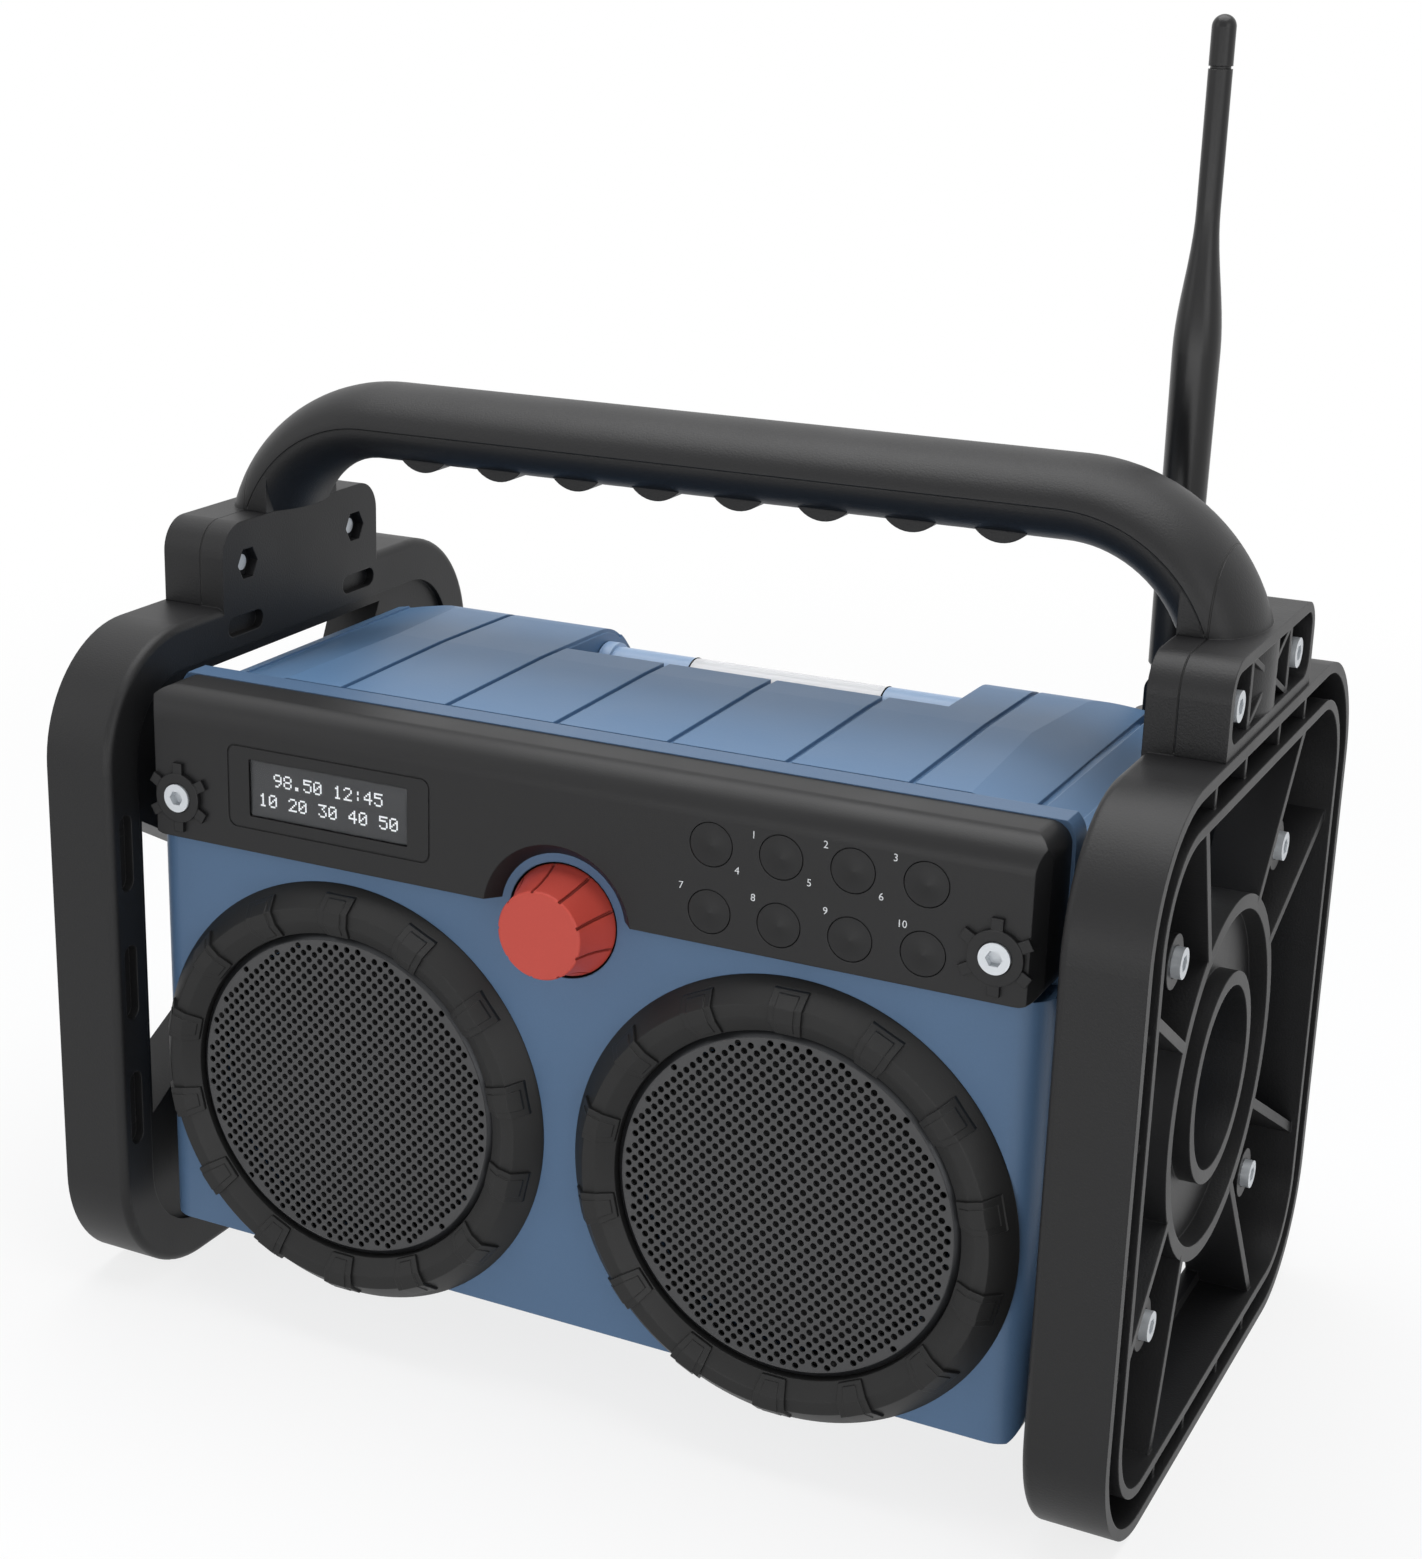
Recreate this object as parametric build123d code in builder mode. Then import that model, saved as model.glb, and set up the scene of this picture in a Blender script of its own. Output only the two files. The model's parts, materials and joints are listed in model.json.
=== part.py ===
# %% [markdown]
# # Jobsite radio
#
# A splash-proof radio for building sites: a blue plastic cabinet slung between two
# black roll-cage side frames, with a carrying handle bolted on top of the frames.
#
# Frame of the model: millimetres, +X to the right of somebody facing the radio, +Y
# towards the back, +Z up. The origin is on the ground, in the middle of the outline.

# %%
import os
from math import atan2, cos, degrees, radians, sin, sqrt, tan

from build123d import *

os.makedirs("parts", exist_ok=True)

# %% [markdown]
# ## Driving dimensions

# %%
# side frames: two open U-section rails around a wheel-like web
web_ledge = 3.6
frame_outer_x = 166.8
frame_inner_x = 144.0
frame_depth = 208.0
frame_height = 210.0
frame_corner = 38.0
frame_edge_fillet = 2.5
rail_depth = 14.0
rail_floor = 3.0
outer_lip = 3.2
inner_lip = 2.8
hub_face_x = 162.3
hub_floor_x = 156.8
web_inner_x = 146.0
web_thickness = 4.0
hub_outer_radius = 52.5
hub_wall = 4.2
core_outer_radius = 30.5
core_bore_radius = 26.5
spoke_thickness = 3.0
spoke_tip_x = 165.0
frame_screw_offset = 52.8
pad_radius = 10.5
pad_hole_radius = 6.0
slot_width = 6.0
slot_length = 24.0
channel_rib_places = (-47.0, -17.7, 17.7, 47.0)

# bracket on top of each frame, split at bracket_seam_x into a frame half and a handle half
bracket_width = 88.0
bracket_top_z = 235.5
bracket_corner = 10.0
bracket_seam_x = 152.4
bracket_outer_x = 166.0
bracket_wall = 3.2
bracket_screw_y = 30.7
bracket_screw_z = 221.8
bracket_rib_y = 20.3

# handle: an oval tube, split lengthwise along its own centre line
grip_half_depth = 20.0
grip_half_height = 11.5
grip_shell = 3.0
grip_centre_z = 265.1
grip_leg_x = 154.5
grip_bend_radius = 45.5
finger_count = 8
finger_pitch = 26.2
finger_radius = 10.0
saddle_top_z = 247.0

# cabinet
cabinet_half_width = 138.0
cabinet_front_y = -90.1
cabinet_rear_y = 91.6
cabinet_bottom_z = 26.7
cabinet_top_z = 198.7
cabinet_wall = 3.0
cabinet_corner = 8.0
crown_height = 0.8
crown_y = -8.4
cheek_round_y = 30.6
cheek_round_radius = 24.5
front_shell_rear_y = -66.4
deck_front_y = -65.6
deck_split_z = 190.0
slope_start_x = 106.5
slope_angle = 14.5
rim_inner_x = 133.0
rim_rise = 0.8
groove_pitch = 35.35
groove_mid_x = 19.4
end_groove_x = 122.0
groove_width = 2.0
groove_depth = 1.2

# recess for the lamp between the two cheeks of the deck
recess_left_x = -51.6
recess_right_x = 74.0
recess_front_y = 4.6
recess_floor_z = 172.0
lamp_y = 33.6
lamp_z = 185.3
lamp_radius = 8.0
lamp_wall = 1.8
lamp_window_left_x = -20.0
lamp_window_right_x = 44.0
lamp_window_half_angle = 55.0
journal_radius = 4.0
running_gap = 0.05

# control panel
panel_half_width = 137.0
panel_face_y = -94.4
panel_rear_y = -75.0
panel_bottom_z = 154.1
panel_top_z = 198.4
panel_plate = 2.2
panel_top_round = 9.0
panel_side_wrap = 3.0
panel_top_wrap = 12.0
panel_end_depth = 4.6
panel_end_run = 3.0
panel_screw_x = 125.5
panel_screw_z = 166.7
knob_z = 150.7
knob_cutout_radius = 23.0
knob_cutout_taper = 40.0
display_left_x = -100.7
display_right_x = -47.5
display_bottom_z = 165.0
display_top_z = 182.1
display_border = 7.0
button_first_x = 46.1
button_pitch = 20.0
button_rows = (182.3, 163.5)
button_radius = 6.0
button_gap = 0.25
button_travel = 0.8

# knob on a push encoder
knob_base_radius = 16.3
knob_face_radius = 12.7
knob_waist_depth = 0.7
knob_face_y = -104.0
knob_base_y = -89.6
knob_hub_y = -90.9
knob_recess_radius = 16.9
knob_recess_depth = 1.6
knob_flutes = 9
knob_flute_start = 20.0
shaft_radius = 3.0

# speakers
speaker_x = 70.4
speaker_z = 82.7
ring_outer_radius = 65.6
ring_shoulder_radius = 64.4
ring_flat_outer_radius = 59.4
ring_flat_inner_radius = 55.6
ring_inner_radius = 50.8
ring_shelf_radius = 46.5
ring_shelf_y = -91.4
ring_shoulder_y = -91.2
ring_front_y = -97.4
ring_inner_y = -94.2
ring_lugs = 14
lug_rise = 0.9
lug_outer_radius = 63.2
grille_radius = 48.7
grille_brim_radius = 50.5
grille_brim_y = -92.2
grille_front_y = -93.6
grille_thickness = 1.2
speaker_opening_radius = 45.0

# socket-head screws, all M5
screw_radius = 2.5
screw_head_radius = 4.25
screw_head_height = 5.0
screw_hole_radius = 2.7
hex_key_flats = 4.0

# rubber bushings under the screws, six lugs each
bushing_radius = 7.5
bushing_lug_radius = 10.5
bushing_lug_width = 3.2
bushing_lugs = 6

# antenna on the right rear corner
antenna_x = 119.8
antenna_y = 67.6
antenna_pin_z = 196.5
antenna_length = 193.2
antenna_foot_radius = 6.2
antenna_belly_radius = 6.8
antenna_tip_radius = 3.4
antenna_belly_height = 100.0
antenna_neck_height = 140.0
antenna_groove_height = 178.5

# battery compartment in the back
door_half_width = 75.0
door_bottom_z = 44.0
door_top_z = 142.0
door_gap = 0.5
door_thickness = 2.6
door_hinge_y = 95.2
door_hinge_z = 39.5
door_knuckle_radius = 3.2
door_pin_radius = 1.5
cell_radius = 16.2
cell_length = 61.0
cell_rows = (60.5, 93.3, 126.1)
cell_y = 67.0

# sockets behind a rubber flap
flap_left_x = 88.0
flap_right_x = 122.0
flap_bottom_z = 70.0
flap_top_z = 102.0
flap_thickness = 2.6
dc_socket_radius = 2.75
dc_pin_radius = 1.05
aux_socket_radius = 1.8

# %% [markdown]
# ## Derived dimensions

# %%
frame_mid_z = frame_height / 2
window_half_depth = frame_depth / 2 - rail_depth
window_half_height = frame_height / 2 - rail_depth
cabinet_mid_z = (cabinet_bottom_z + cabinet_top_z) / 2
cabinet_height = cabinet_top_z - cabinet_bottom_z
cheek_round_z = cabinet_top_z - cheek_round_radius
slope_start_y = cheek_round_y + cheek_round_radius * sin(radians(45))
slope_start_z = cheek_round_z + cheek_round_radius * cos(radians(45))
slope_end_z = slope_start_z - (cabinet_rear_y - slope_start_y)
grip_arc_x = grip_leg_x - grip_bend_radius
grip_arc_z = grip_centre_z - grip_bend_radius
slope_fall = tan(radians(slope_angle))
end_groove_drop = (end_groove_x - slope_start_x) * slope_fall
groove_places = [(groove_mid_x + groove_pitch * i, 0) for i in range(-3, 3)]
groove_places.append((end_groove_x, end_groove_drop))
button_places = [
    (button_first_x + column * button_pitch, row_z)
    for row_z in button_rows
    for column in range(4)
]
frame_screw_places = [
    (sy * frame_screw_offset, frame_mid_z + sz * frame_screw_offset)
    for sy in (-1, 1)
    for sz in (-1, 1)
]
bracket_screw_places = [(-bracket_screw_y, bracket_screw_z), (bracket_screw_y, bracket_screw_z)]
display_mid = ((display_left_x + display_right_x) / 2, (display_bottom_z + display_top_z) / 2)
display_size = (display_right_x - display_left_x, display_top_z - display_bottom_z)
display_board_mid = (display_mid[0], 171.0)
button_mid = (button_first_x + 1.5 * button_pitch, sum(button_rows) / 2)


# %% [markdown]
# ## Helpers
#
# Each one draws in the part that is being built. `xz(y)` is the upright plane at depth y
# with its normal towards the viewer, so a positive extrusion comes forwards.

# %%
def yz(x):
    return Plane.YZ.offset(x)


def xz(y):
    return Plane.XZ.offset(-y)


def xy(z):
    return Plane.XY.offset(z)


def block(low, high, mode=Mode.ADD):
    """A box between two opposite corners."""
    centre = tuple((a + b) / 2 for a, b in zip(low, high))
    size = [b - a for a, b in zip(low, high)]
    with Locations(centre):
        Box(*size, mode=mode)


def rod_x(places, radius, x0, x1, mode=Mode.ADD):
    """Round rods along X at (y, z) places."""
    with BuildSketch(yz(x0)) as ends:
        with Locations(*places):
            Circle(radius)
    extrude(ends.sketch, amount=x1 - x0, mode=mode)


def rod_y(places, radius, y0, y1, mode=Mode.ADD):
    """Round rods along Y at (x, z) places, from y0 back to y1."""
    with BuildSketch(xz(y1)) as ends:
        with Locations(*places):
            Circle(radius)
    extrude(ends.sketch, amount=y1 - y0, mode=mode)


def rod_z(places, radius, z0, z1, mode=Mode.ADD):
    """Round rods along Z at (x, y) places."""
    with BuildSketch(xy(z0)) as ends:
        with Locations(*places):
            Circle(radius)
    extrude(ends.sketch, amount=z1 - z0, mode=mode)


def plate_y(centre, width, height, corner, y0, y1, mode=Mode.ADD):
    """A plate facing the viewer with rounded corners, from y0 back to y1."""
    with BuildSketch(xz(y1)) as outline:
        with Locations(centre):
            RectangleRounded(width, height, corner)
    extrude(outline.sketch, amount=y1 - y0, mode=mode)


def save(piece, label):
    piece.part.label = label
    export_step(piece.part, f"parts/{label}.step")


def mirrored(piece):
    """The same piece on the other side of the radio."""
    with BuildPart() as other:
        add(piece.part)
        mirror(about=Plane.YZ, mode=Mode.REPLACE)
    return other


# %% [markdown]
# ## Cabinet
#
# The outer form is one block: its side profile, drawn in the YZ plane, cut down by its
# front outline and its plan. The cavity is the same block with a wall thickness taken off,
# less the ledges behind the control panel and the liner of the lamp recess.

# %%
def cabinet_block(inset):
    half_width = cabinet_half_width - inset
    corner = max(cabinet_corner - inset, 1.0)
    with BuildPart() as form:
        with BuildSketch(yz(-half_width)):
            with BuildLine():
                Polyline(
                    (cheek_round_y, cabinet_top_z),
                    (crown_y, cabinet_top_z + crown_height),
                    (deck_front_y, cabinet_top_z),
                    (cabinet_front_y, cabinet_top_z),
                    (cabinet_front_y, cabinet_bottom_z),
                    (cabinet_rear_y, cabinet_bottom_z),
                    (cabinet_rear_y, slope_end_z),
                    (slope_start_y, slope_start_z),
                )
                CenterArc((cheek_round_y, cheek_round_z), cheek_round_radius, 45, 45)
            make_face()
            if inset:
                offset(amount=-inset, kind=Kind.INTERSECTION)
        extrude(amount=2 * half_width)
        with BuildSketch(xz(cabinet_rear_y)):
            with Locations((0, cabinet_mid_z)):
                RectangleRounded(2 * half_width, cabinet_height + 4 - 2 * inset, corner)
        extrude(amount=cabinet_rear_y - cabinet_front_y, mode=Mode.INTERSECT)
        with BuildSketch(xy(0)):
            with Locations((0, (cabinet_front_y + cabinet_rear_y) / 2)):
                RectangleRounded(
                    2 * half_width, cabinet_rear_y - cabinet_front_y - 2 * inset, corner
                )
        extrude(amount=cabinet_top_z + 10, mode=Mode.INTERSECT)
    return form.part


def slope_z(x):
    """Height of the sloping end of the deck at a distance x from the middle."""
    return cabinet_top_z - (x - slope_start_x) * slope_fall


def above_slopes(drop, rise):
    """What lies above the two sloping ends of the deck and the rim at their edges."""
    with BuildPart() as outside:
        for sx in (-1, 1):
            with BuildSketch(xz(200)):
                Polygon(
                    (sx * 95, slope_z(95) - drop),
                    (sx * rim_inner_x, slope_z(rim_inner_x) - drop),
                    (sx * rim_inner_x, slope_z(rim_inner_x) - drop + rise),
                    (sx * 150, slope_z(150) - drop + rise),
                    (sx * 150, 300),
                    (sx * 95, 300),
                    align=None,
                )
            extrude(amount=200 - deck_front_y)
    return outside.part


with BuildPart() as cavity:
    add(cabinet_block(cabinet_wall))
    add(above_slopes(cabinet_wall, 0.01), mode=Mode.SUBTRACT)
    ledge_y = panel_rear_y + cabinet_wall
    ledge_z = panel_top_z - panel_top_wrap - cabinet_wall
    side_x = panel_half_width - panel_side_wrap - cabinet_wall
    block((-200, -200, ledge_z), (200, ledge_y, 250), mode=Mode.SUBTRACT)
    for sx in (-1, 1):
        low_x, high_x = sorted((sx * side_x, sx * 200))
        block(
            (low_x, -200, panel_bottom_z - cabinet_wall), (high_x, ledge_y, 250),
            mode=Mode.SUBTRACT,
        )
    block(
        (
            recess_left_x - cabinet_wall,
            recess_front_y - cabinet_wall,
            recess_floor_z - cabinet_wall,
        ),
        (recess_right_x + cabinet_wall, 200, 250),
        mode=Mode.SUBTRACT,
    )

with BuildPart() as hull:
    add(cabinet_block(0))
    add(cavity.part, mode=Mode.SUBTRACT)
    add(above_slopes(0, rim_rise), mode=Mode.SUBTRACT)
    block(
        (recess_left_x, recess_front_y, recess_floor_z), (recess_right_x, 200, 250),
        mode=Mode.SUBTRACT,
    )
    # the seat of the control panel, around its top and its two ends
    block(
        (-200, -200, panel_top_z - panel_top_wrap), (200, panel_rear_y, 250),
        mode=Mode.SUBTRACT,
    )
    for sx in (-1, 1):
        low_x, high_x = sorted((sx * (panel_half_width - panel_side_wrap), sx * 200))
        block((low_x, -200, panel_bottom_z), (high_x, panel_rear_y, 250), mode=Mode.SUBTRACT)

# %% [markdown]
# The front shell: baffle for the two speakers, openings behind the display and the
# buttons, bosses for the panel screws and the screws that come in from the back.

# %%
driver_screw_radius = 1.9
driver_screw_ring = 48.5
driver_screw_angles = (45, 135, 225, 315)
driver_screw_places = [
    (
        sx * speaker_x + driver_screw_ring * cos(radians(a)),
        speaker_z + driver_screw_ring * sin(radians(a)),
    )
    for sx in (-1, 1)
    for a in driver_screw_angles
]
speaker_places = [(-speaker_x, speaker_z), (speaker_x, speaker_z)]
panel_screw_places = [(-panel_screw_x, panel_screw_z), (panel_screw_x, panel_screw_z)]
shell_screw_x = 127.0
shell_screw_places = [(sx * shell_screw_x, z) for sx in (-1, 1) for z in (38.0, 138.0)]
shell_boss_radius = 5.0
baffle_rear_y = cabinet_front_y + cabinet_wall
encoder_bush_radius = 4.5

with BuildPart() as cabinet_front:
    add(hull.part)
    block((-200, front_shell_rear_y, 0), (200, 200, 300), mode=Mode.SUBTRACT)
    rod_y(panel_screw_places, 6.0, baffle_rear_y, -72.0)
    rod_y(shell_screw_places, shell_boss_radius, baffle_rear_y, front_shell_rear_y)
    rod_y(speaker_places, speaker_opening_radius, -200, baffle_rear_y + 1, mode=Mode.SUBTRACT)
    plate_y(display_board_mid, 68.0, 24.6, 2.0, -200, baffle_rear_y + 1, mode=Mode.SUBTRACT)
    plate_y(button_mid, 84.0, 36.0, 2.0, -200, baffle_rear_y + 1, mode=Mode.SUBTRACT)
    rod_y([(0, knob_z)], encoder_bush_radius, -200, baffle_rear_y + 1, mode=Mode.SUBTRACT)
    rod_y([(0, knob_z)], knob_recess_radius, -200, cabinet_front_y + knob_recess_depth,
          mode=Mode.SUBTRACT)
    rod_y(panel_screw_places, screw_hole_radius, -200, -73.5, mode=Mode.SUBTRACT)
    rod_y(shell_screw_places, screw_radius + 0.1, -80.0, 0, mode=Mode.SUBTRACT)
    rod_y(driver_screw_places, driver_screw_radius + 0.1, -89.6, -80, mode=Mode.SUBTRACT)
save(cabinet_front, "cabinet_front")

# %% [markdown]
# The rear shell: a tub with the 45 degree shoulder, the shelf under the lamp, the opening
# of the battery compartment, the niche for the sockets and the post of the antenna.

# %%
frame_boss_inner_x = 122.0
antenna_post_radius = 10.0
antenna_post_top_z = 184.0
antenna_post_bottom_z = 160.4
antenna_stem_radius = 3.5
hinge_lug_length = 9.0
hinge_lug_x = 40.0
flap_mid = ((flap_left_x + flap_right_x) / 2, (flap_bottom_z + flap_top_z) / 2)
flap_size = (flap_right_x - flap_left_x, flap_top_z - flap_bottom_z)
door_mid = (0, (door_bottom_z + door_top_z) / 2)
door_size = (2 * door_half_width, door_top_z - door_bottom_z)
niche_depth = 8.0
niche_wall = 2.0
board_top_z = 157.6
board_pillar_places = [(x, y) for x in (-44.0, 60.0) for y in (13.0, 62.0)]
socket_opening = (24.0, 16.0)

with BuildPart() as cabinet_rear:
    add(hull.part)
    block((-200, -200, 0), (200, front_shell_rear_y, 300), mode=Mode.SUBTRACT)
    block((-200, -200, deck_split_z), (200, 200, 300), mode=Mode.SUBTRACT)
    for sx in (-1, 1):
        side_inner = sx * (cabinet_half_width - cabinet_wall)
        boss_end = sx * frame_boss_inner_x
        rod_x(frame_screw_places, 6.0, min(side_inner, boss_end), max(side_inner, boss_end))
    rod_y(shell_screw_places, shell_boss_radius, front_shell_rear_y, cabinet_rear_y - 1)
    rod_z([(antenna_x, antenna_y)], antenna_post_radius, antenna_post_bottom_z, antenna_post_top_z)
    block(
        (flap_left_x - 2, cabinet_rear_y - niche_depth - niche_wall, flap_bottom_z - 2),
        (flap_right_x + 2, cabinet_rear_y - 1, flap_top_z + 2),
    )
    plate_y(flap_mid, flap_size[0] + 0.6, flap_size[1] + 0.6, 3.0,
            cabinet_rear_y - flap_thickness, 200, mode=Mode.SUBTRACT)
    plate_y(flap_mid, flap_size[0] - 6, flap_size[1] - 6, 2.0,
            cabinet_rear_y - niche_depth, 200, mode=Mode.SUBTRACT)
    plate_y(flap_mid, *socket_opening, 1.0, cabinet_rear_y - niche_depth - niche_wall - 1, 200,
            mode=Mode.SUBTRACT)
    plate_y(door_mid, door_size[0] + 2 * door_gap, door_size[1] + 2 * door_gap, 4.5,
            80, 200, mode=Mode.SUBTRACT)
    for x in (-hinge_lug_x, 0, hinge_lug_x):
        with BuildSketch(yz(x - hinge_lug_length / 2)):
            with Locations((door_hinge_y, door_hinge_z)):
                Circle(door_knuckle_radius)
            with Locations((door_hinge_y - 3, door_hinge_z - 1.2)):
                Rectangle(6, 4)
        extrude(amount=hinge_lug_length)
    rod_x([(door_hinge_y, door_hinge_z)], door_pin_radius, -60, 60, mode=Mode.SUBTRACT)
    for sx in (-1, 1):
        low_x, high_x = sorted((sx * (frame_boss_inner_x + 2), sx * 200))
        rod_x(frame_screw_places, screw_radius + 0.1, low_x, high_x, mode=Mode.SUBTRACT)
    rod_y(shell_screw_places, screw_radius + 0.2, -100, 200, mode=Mode.SUBTRACT)
    rod_y(shell_screw_places, screw_head_radius + 0.35, 79.0, 200, mode=Mode.SUBTRACT)
    rod_z([(antenna_x, antenna_y)], antenna_stem_radius + running_gap, 140, 200,
          mode=Mode.SUBTRACT)
    rod_x([(lamp_y, lamp_z)], journal_radius + running_gap, -60, 80, mode=Mode.SUBTRACT)
    rod_z(board_pillar_places, 3.0, board_top_z, recess_floor_z - 1)
save(cabinet_rear, "cabinet_rear")

# %% [markdown]
# The top deck: crowned, with sloping ends, seven grooves that run front to back, and a
# cheek at each side of the lamp. The last groove on the right lies on the slope.

# %%
groove_end_angle = 35.0
groove_end = (
    cheek_round_y + (cheek_round_radius - groove_depth) * sin(radians(groove_end_angle)),
    cheek_round_z + (cheek_round_radius - groove_depth) * cos(radians(groove_end_angle)),
)

with BuildPart() as top_deck:
    add(hull.part)
    block((-200, -200, 0), (200, 200, deck_split_z), mode=Mode.SUBTRACT)
    block((-200, -200, 0), (200, deck_front_y, 300), mode=Mode.SUBTRACT)
    for x, drop in groove_places:
        groove_start = (x - groove_width / 2, 0, -drop)
        with BuildSketch(Plane(origin=groove_start, x_dir=(0, 1, 0), z_dir=(1, 0, 0))):
            with BuildLine():
                Polyline(
                    (deck_front_y - 1, cabinet_top_z - groove_depth),
                    (crown_y, cabinet_top_z + crown_height - groove_depth),
                    (cheek_round_y, cabinet_top_z - groove_depth),
                )
                CenterArc(
                    (cheek_round_y, cheek_round_z), cheek_round_radius - groove_depth,
                    90, -groove_end_angle,
                )
                Polyline(
                    groove_end,
                    (groove_end[0] + 10, cabinet_top_z + 10),
                    (deck_front_y - 1, cabinet_top_z + 10),
                    (deck_front_y - 1, cabinet_top_z - groove_depth),
                )
            make_face()
        extrude(amount=groove_width, mode=Mode.SUBTRACT)
save(top_deck, "top_deck")

# %% [markdown]
# ## Control panel
#
# A cap over the upper front: flat face, rounded top edge and rounded ends, with a round
# cut-out for the knob at its lower edge.

# %%
panel_height = panel_top_z - panel_bottom_z
panel_mid = (0, (panel_top_z + panel_bottom_z) / 2)

with BuildPart() as control_panel:
    with BuildSketch(yz(-panel_half_width)):
        with BuildLine():
            Polyline(
                (panel_face_y + panel_top_round, panel_top_z),
                (panel_rear_y, panel_top_z),
                (panel_rear_y, panel_bottom_z),
                (panel_face_y, panel_bottom_z),
                (panel_face_y, panel_top_z - panel_top_round),
            )
            CenterArc(
                (panel_face_y + panel_top_round, panel_top_z - panel_top_round),
                panel_top_round, 90, 90,
            )
        make_face()
    extrude(amount=2 * panel_half_width)
    plate_y(panel_mid, 2 * panel_half_width, panel_height, 6.0,
            panel_face_y, panel_rear_y, mode=Mode.INTERSECT)
    with BuildSketch(xy(panel_bottom_z)):
        Polygon(
            (-panel_half_width, 0),
            (-panel_half_width, panel_face_y + panel_end_depth),
            (panel_end_run - panel_half_width, panel_face_y),
            (panel_half_width - panel_end_run, panel_face_y),
            (panel_half_width, panel_face_y + panel_end_depth),
            (panel_half_width, 0),
            align=None,
        )
    extrude(amount=panel_height, mode=Mode.INTERSECT)
    # hollow behind the plate, where the cabinet front comes in
    block(
        (panel_side_wrap - panel_half_width, cabinet_front_y, 0),
        (panel_half_width - panel_side_wrap, 0, panel_top_z - panel_top_wrap),
        mode=Mode.SUBTRACT,
    )
    plate_y(display_mid, 62.0, 26.0, 2.0, panel_face_y + panel_plate, 0, mode=Mode.SUBTRACT)
    plate_y(button_mid, 78.0, 35.0, 2.0, panel_face_y + panel_plate, 0, mode=Mode.SUBTRACT)
    plate_y(display_mid, display_size[0] + 0.2, display_size[1] + 0.2, 0.6,
            -200, 0, mode=Mode.SUBTRACT)
    rod_y(button_places, button_radius + button_gap, -200, 0, mode=Mode.SUBTRACT)
    # the cut-out around the knob is a cone that narrows towards the cabinet
    with BuildSketch(xz(panel_face_y)):
        with Locations((0, knob_z)):
            Circle(knob_cutout_radius)
    extrude(amount=panel_face_y - cabinet_front_y, taper=knob_cutout_taper, mode=Mode.SUBTRACT)
    rod_y(panel_screw_places, 5.0, -200, 0, mode=Mode.SUBTRACT)
    # the fine line around the display
    border = display_border
    plate_y(display_mid, display_size[0] + 2 * border + 1, display_size[1] + border + 1, 3.0,
            panel_face_y, panel_face_y + 0.4, mode=Mode.SUBTRACT)
    plate_y(display_mid, display_size[0] + 2 * border, display_size[1] + border, 2.5,
            panel_face_y, panel_face_y + 0.4)
    plate_y(display_mid, display_size[0] + 0.2, display_size[1] + 0.2, 0.6,
            -200, 0, mode=Mode.SUBTRACT)
save(control_panel, "control_panel")

# %% [markdown]
# ## Display
#
# A clear window with a flange behind the panel plate, and the module that it covers.

# %%
window_flange_y = panel_face_y + panel_plate
with BuildPart() as display_window:
    plate_y(display_mid, display_size[0], display_size[1], 0.5, panel_face_y + 0.2, window_flange_y)
    plate_y(display_mid, 58.0, 22.0, 1.0, window_flange_y, window_flange_y + 0.8)
save(display_window, "display_window")

display_module_y = window_flange_y + 0.8
with BuildPart() as display_module:
    plate_y(display_mid, 60.0, 19.0, 1.0, display_module_y, display_module_y + 4.0)
    plate_y(display_board_mid, 64.0, 24.0, 1.0, display_module_y + 4.0, display_module_y + 5.6)
save(display_module, "display_module")

# %% [markdown]
# ## Buttons
#
# Eight domed caps with a retaining flange behind the panel plate, in front of the key
# board with its switches.

# %%
button_flange_y = panel_face_y + panel_plate + 0.1
button_flange_radius = 7.4
button_dome = 0.9
dome_radius = (button_radius**2 + button_dome**2) / (2 * button_dome)

for number, (x, z) in enumerate(button_places, start=1):
    with BuildPart() as button:
        with BuildSketch(Plane(origin=(x, panel_face_y, z), x_dir=(1, 0, 0), z_dir=(0, 0, 1))):
            with BuildLine():
                RadiusArc((0, -button_dome), (button_radius, 0), dome_radius)
                Polyline(
                    (button_radius, 0),
                    (button_radius, panel_plate + 0.1),
                    (button_flange_radius, panel_plate + 0.1),
                    (button_flange_radius, panel_plate + 1.1),
                    (0, panel_plate + 1.1),
                    (0, -button_dome),
                )
            make_face()
        revolve(axis=Axis((x, 0, z), (0, 1, 0)), revolution_arc=360)
    save(button, f"button_{number}")

switch_front_y = button_flange_y + 1.0 + button_travel + 0.1
with BuildPart() as key_board:
    plate_y(button_mid, 77.0, 33.0, 1.0, switch_front_y + 2.5, switch_front_y + 4.1)
    rod_y(button_places, 2.0, switch_front_y, switch_front_y + 2.5)
save(key_board, "key_board")

# %% [markdown]
# ## Knob
#
# A waisted knob with narrow flutes on a shaft; the shaft turns in the encoder and pushes
# its plunger in.

# %%
flute_depth = 0.5
flute_width = 0.9
flute_end_y = knob_base_y - 0.5
knob_edge_round = 0.4
knob_hollow_radius = 12.0
knob_waist_y = (knob_base_y + knob_face_y) / 2
knob_waist_radius = (knob_base_radius + knob_face_radius) / 2 - knob_waist_depth
encoder_front_y = baffle_rear_y
plunger_y = encoder_front_y + 5.0

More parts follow.
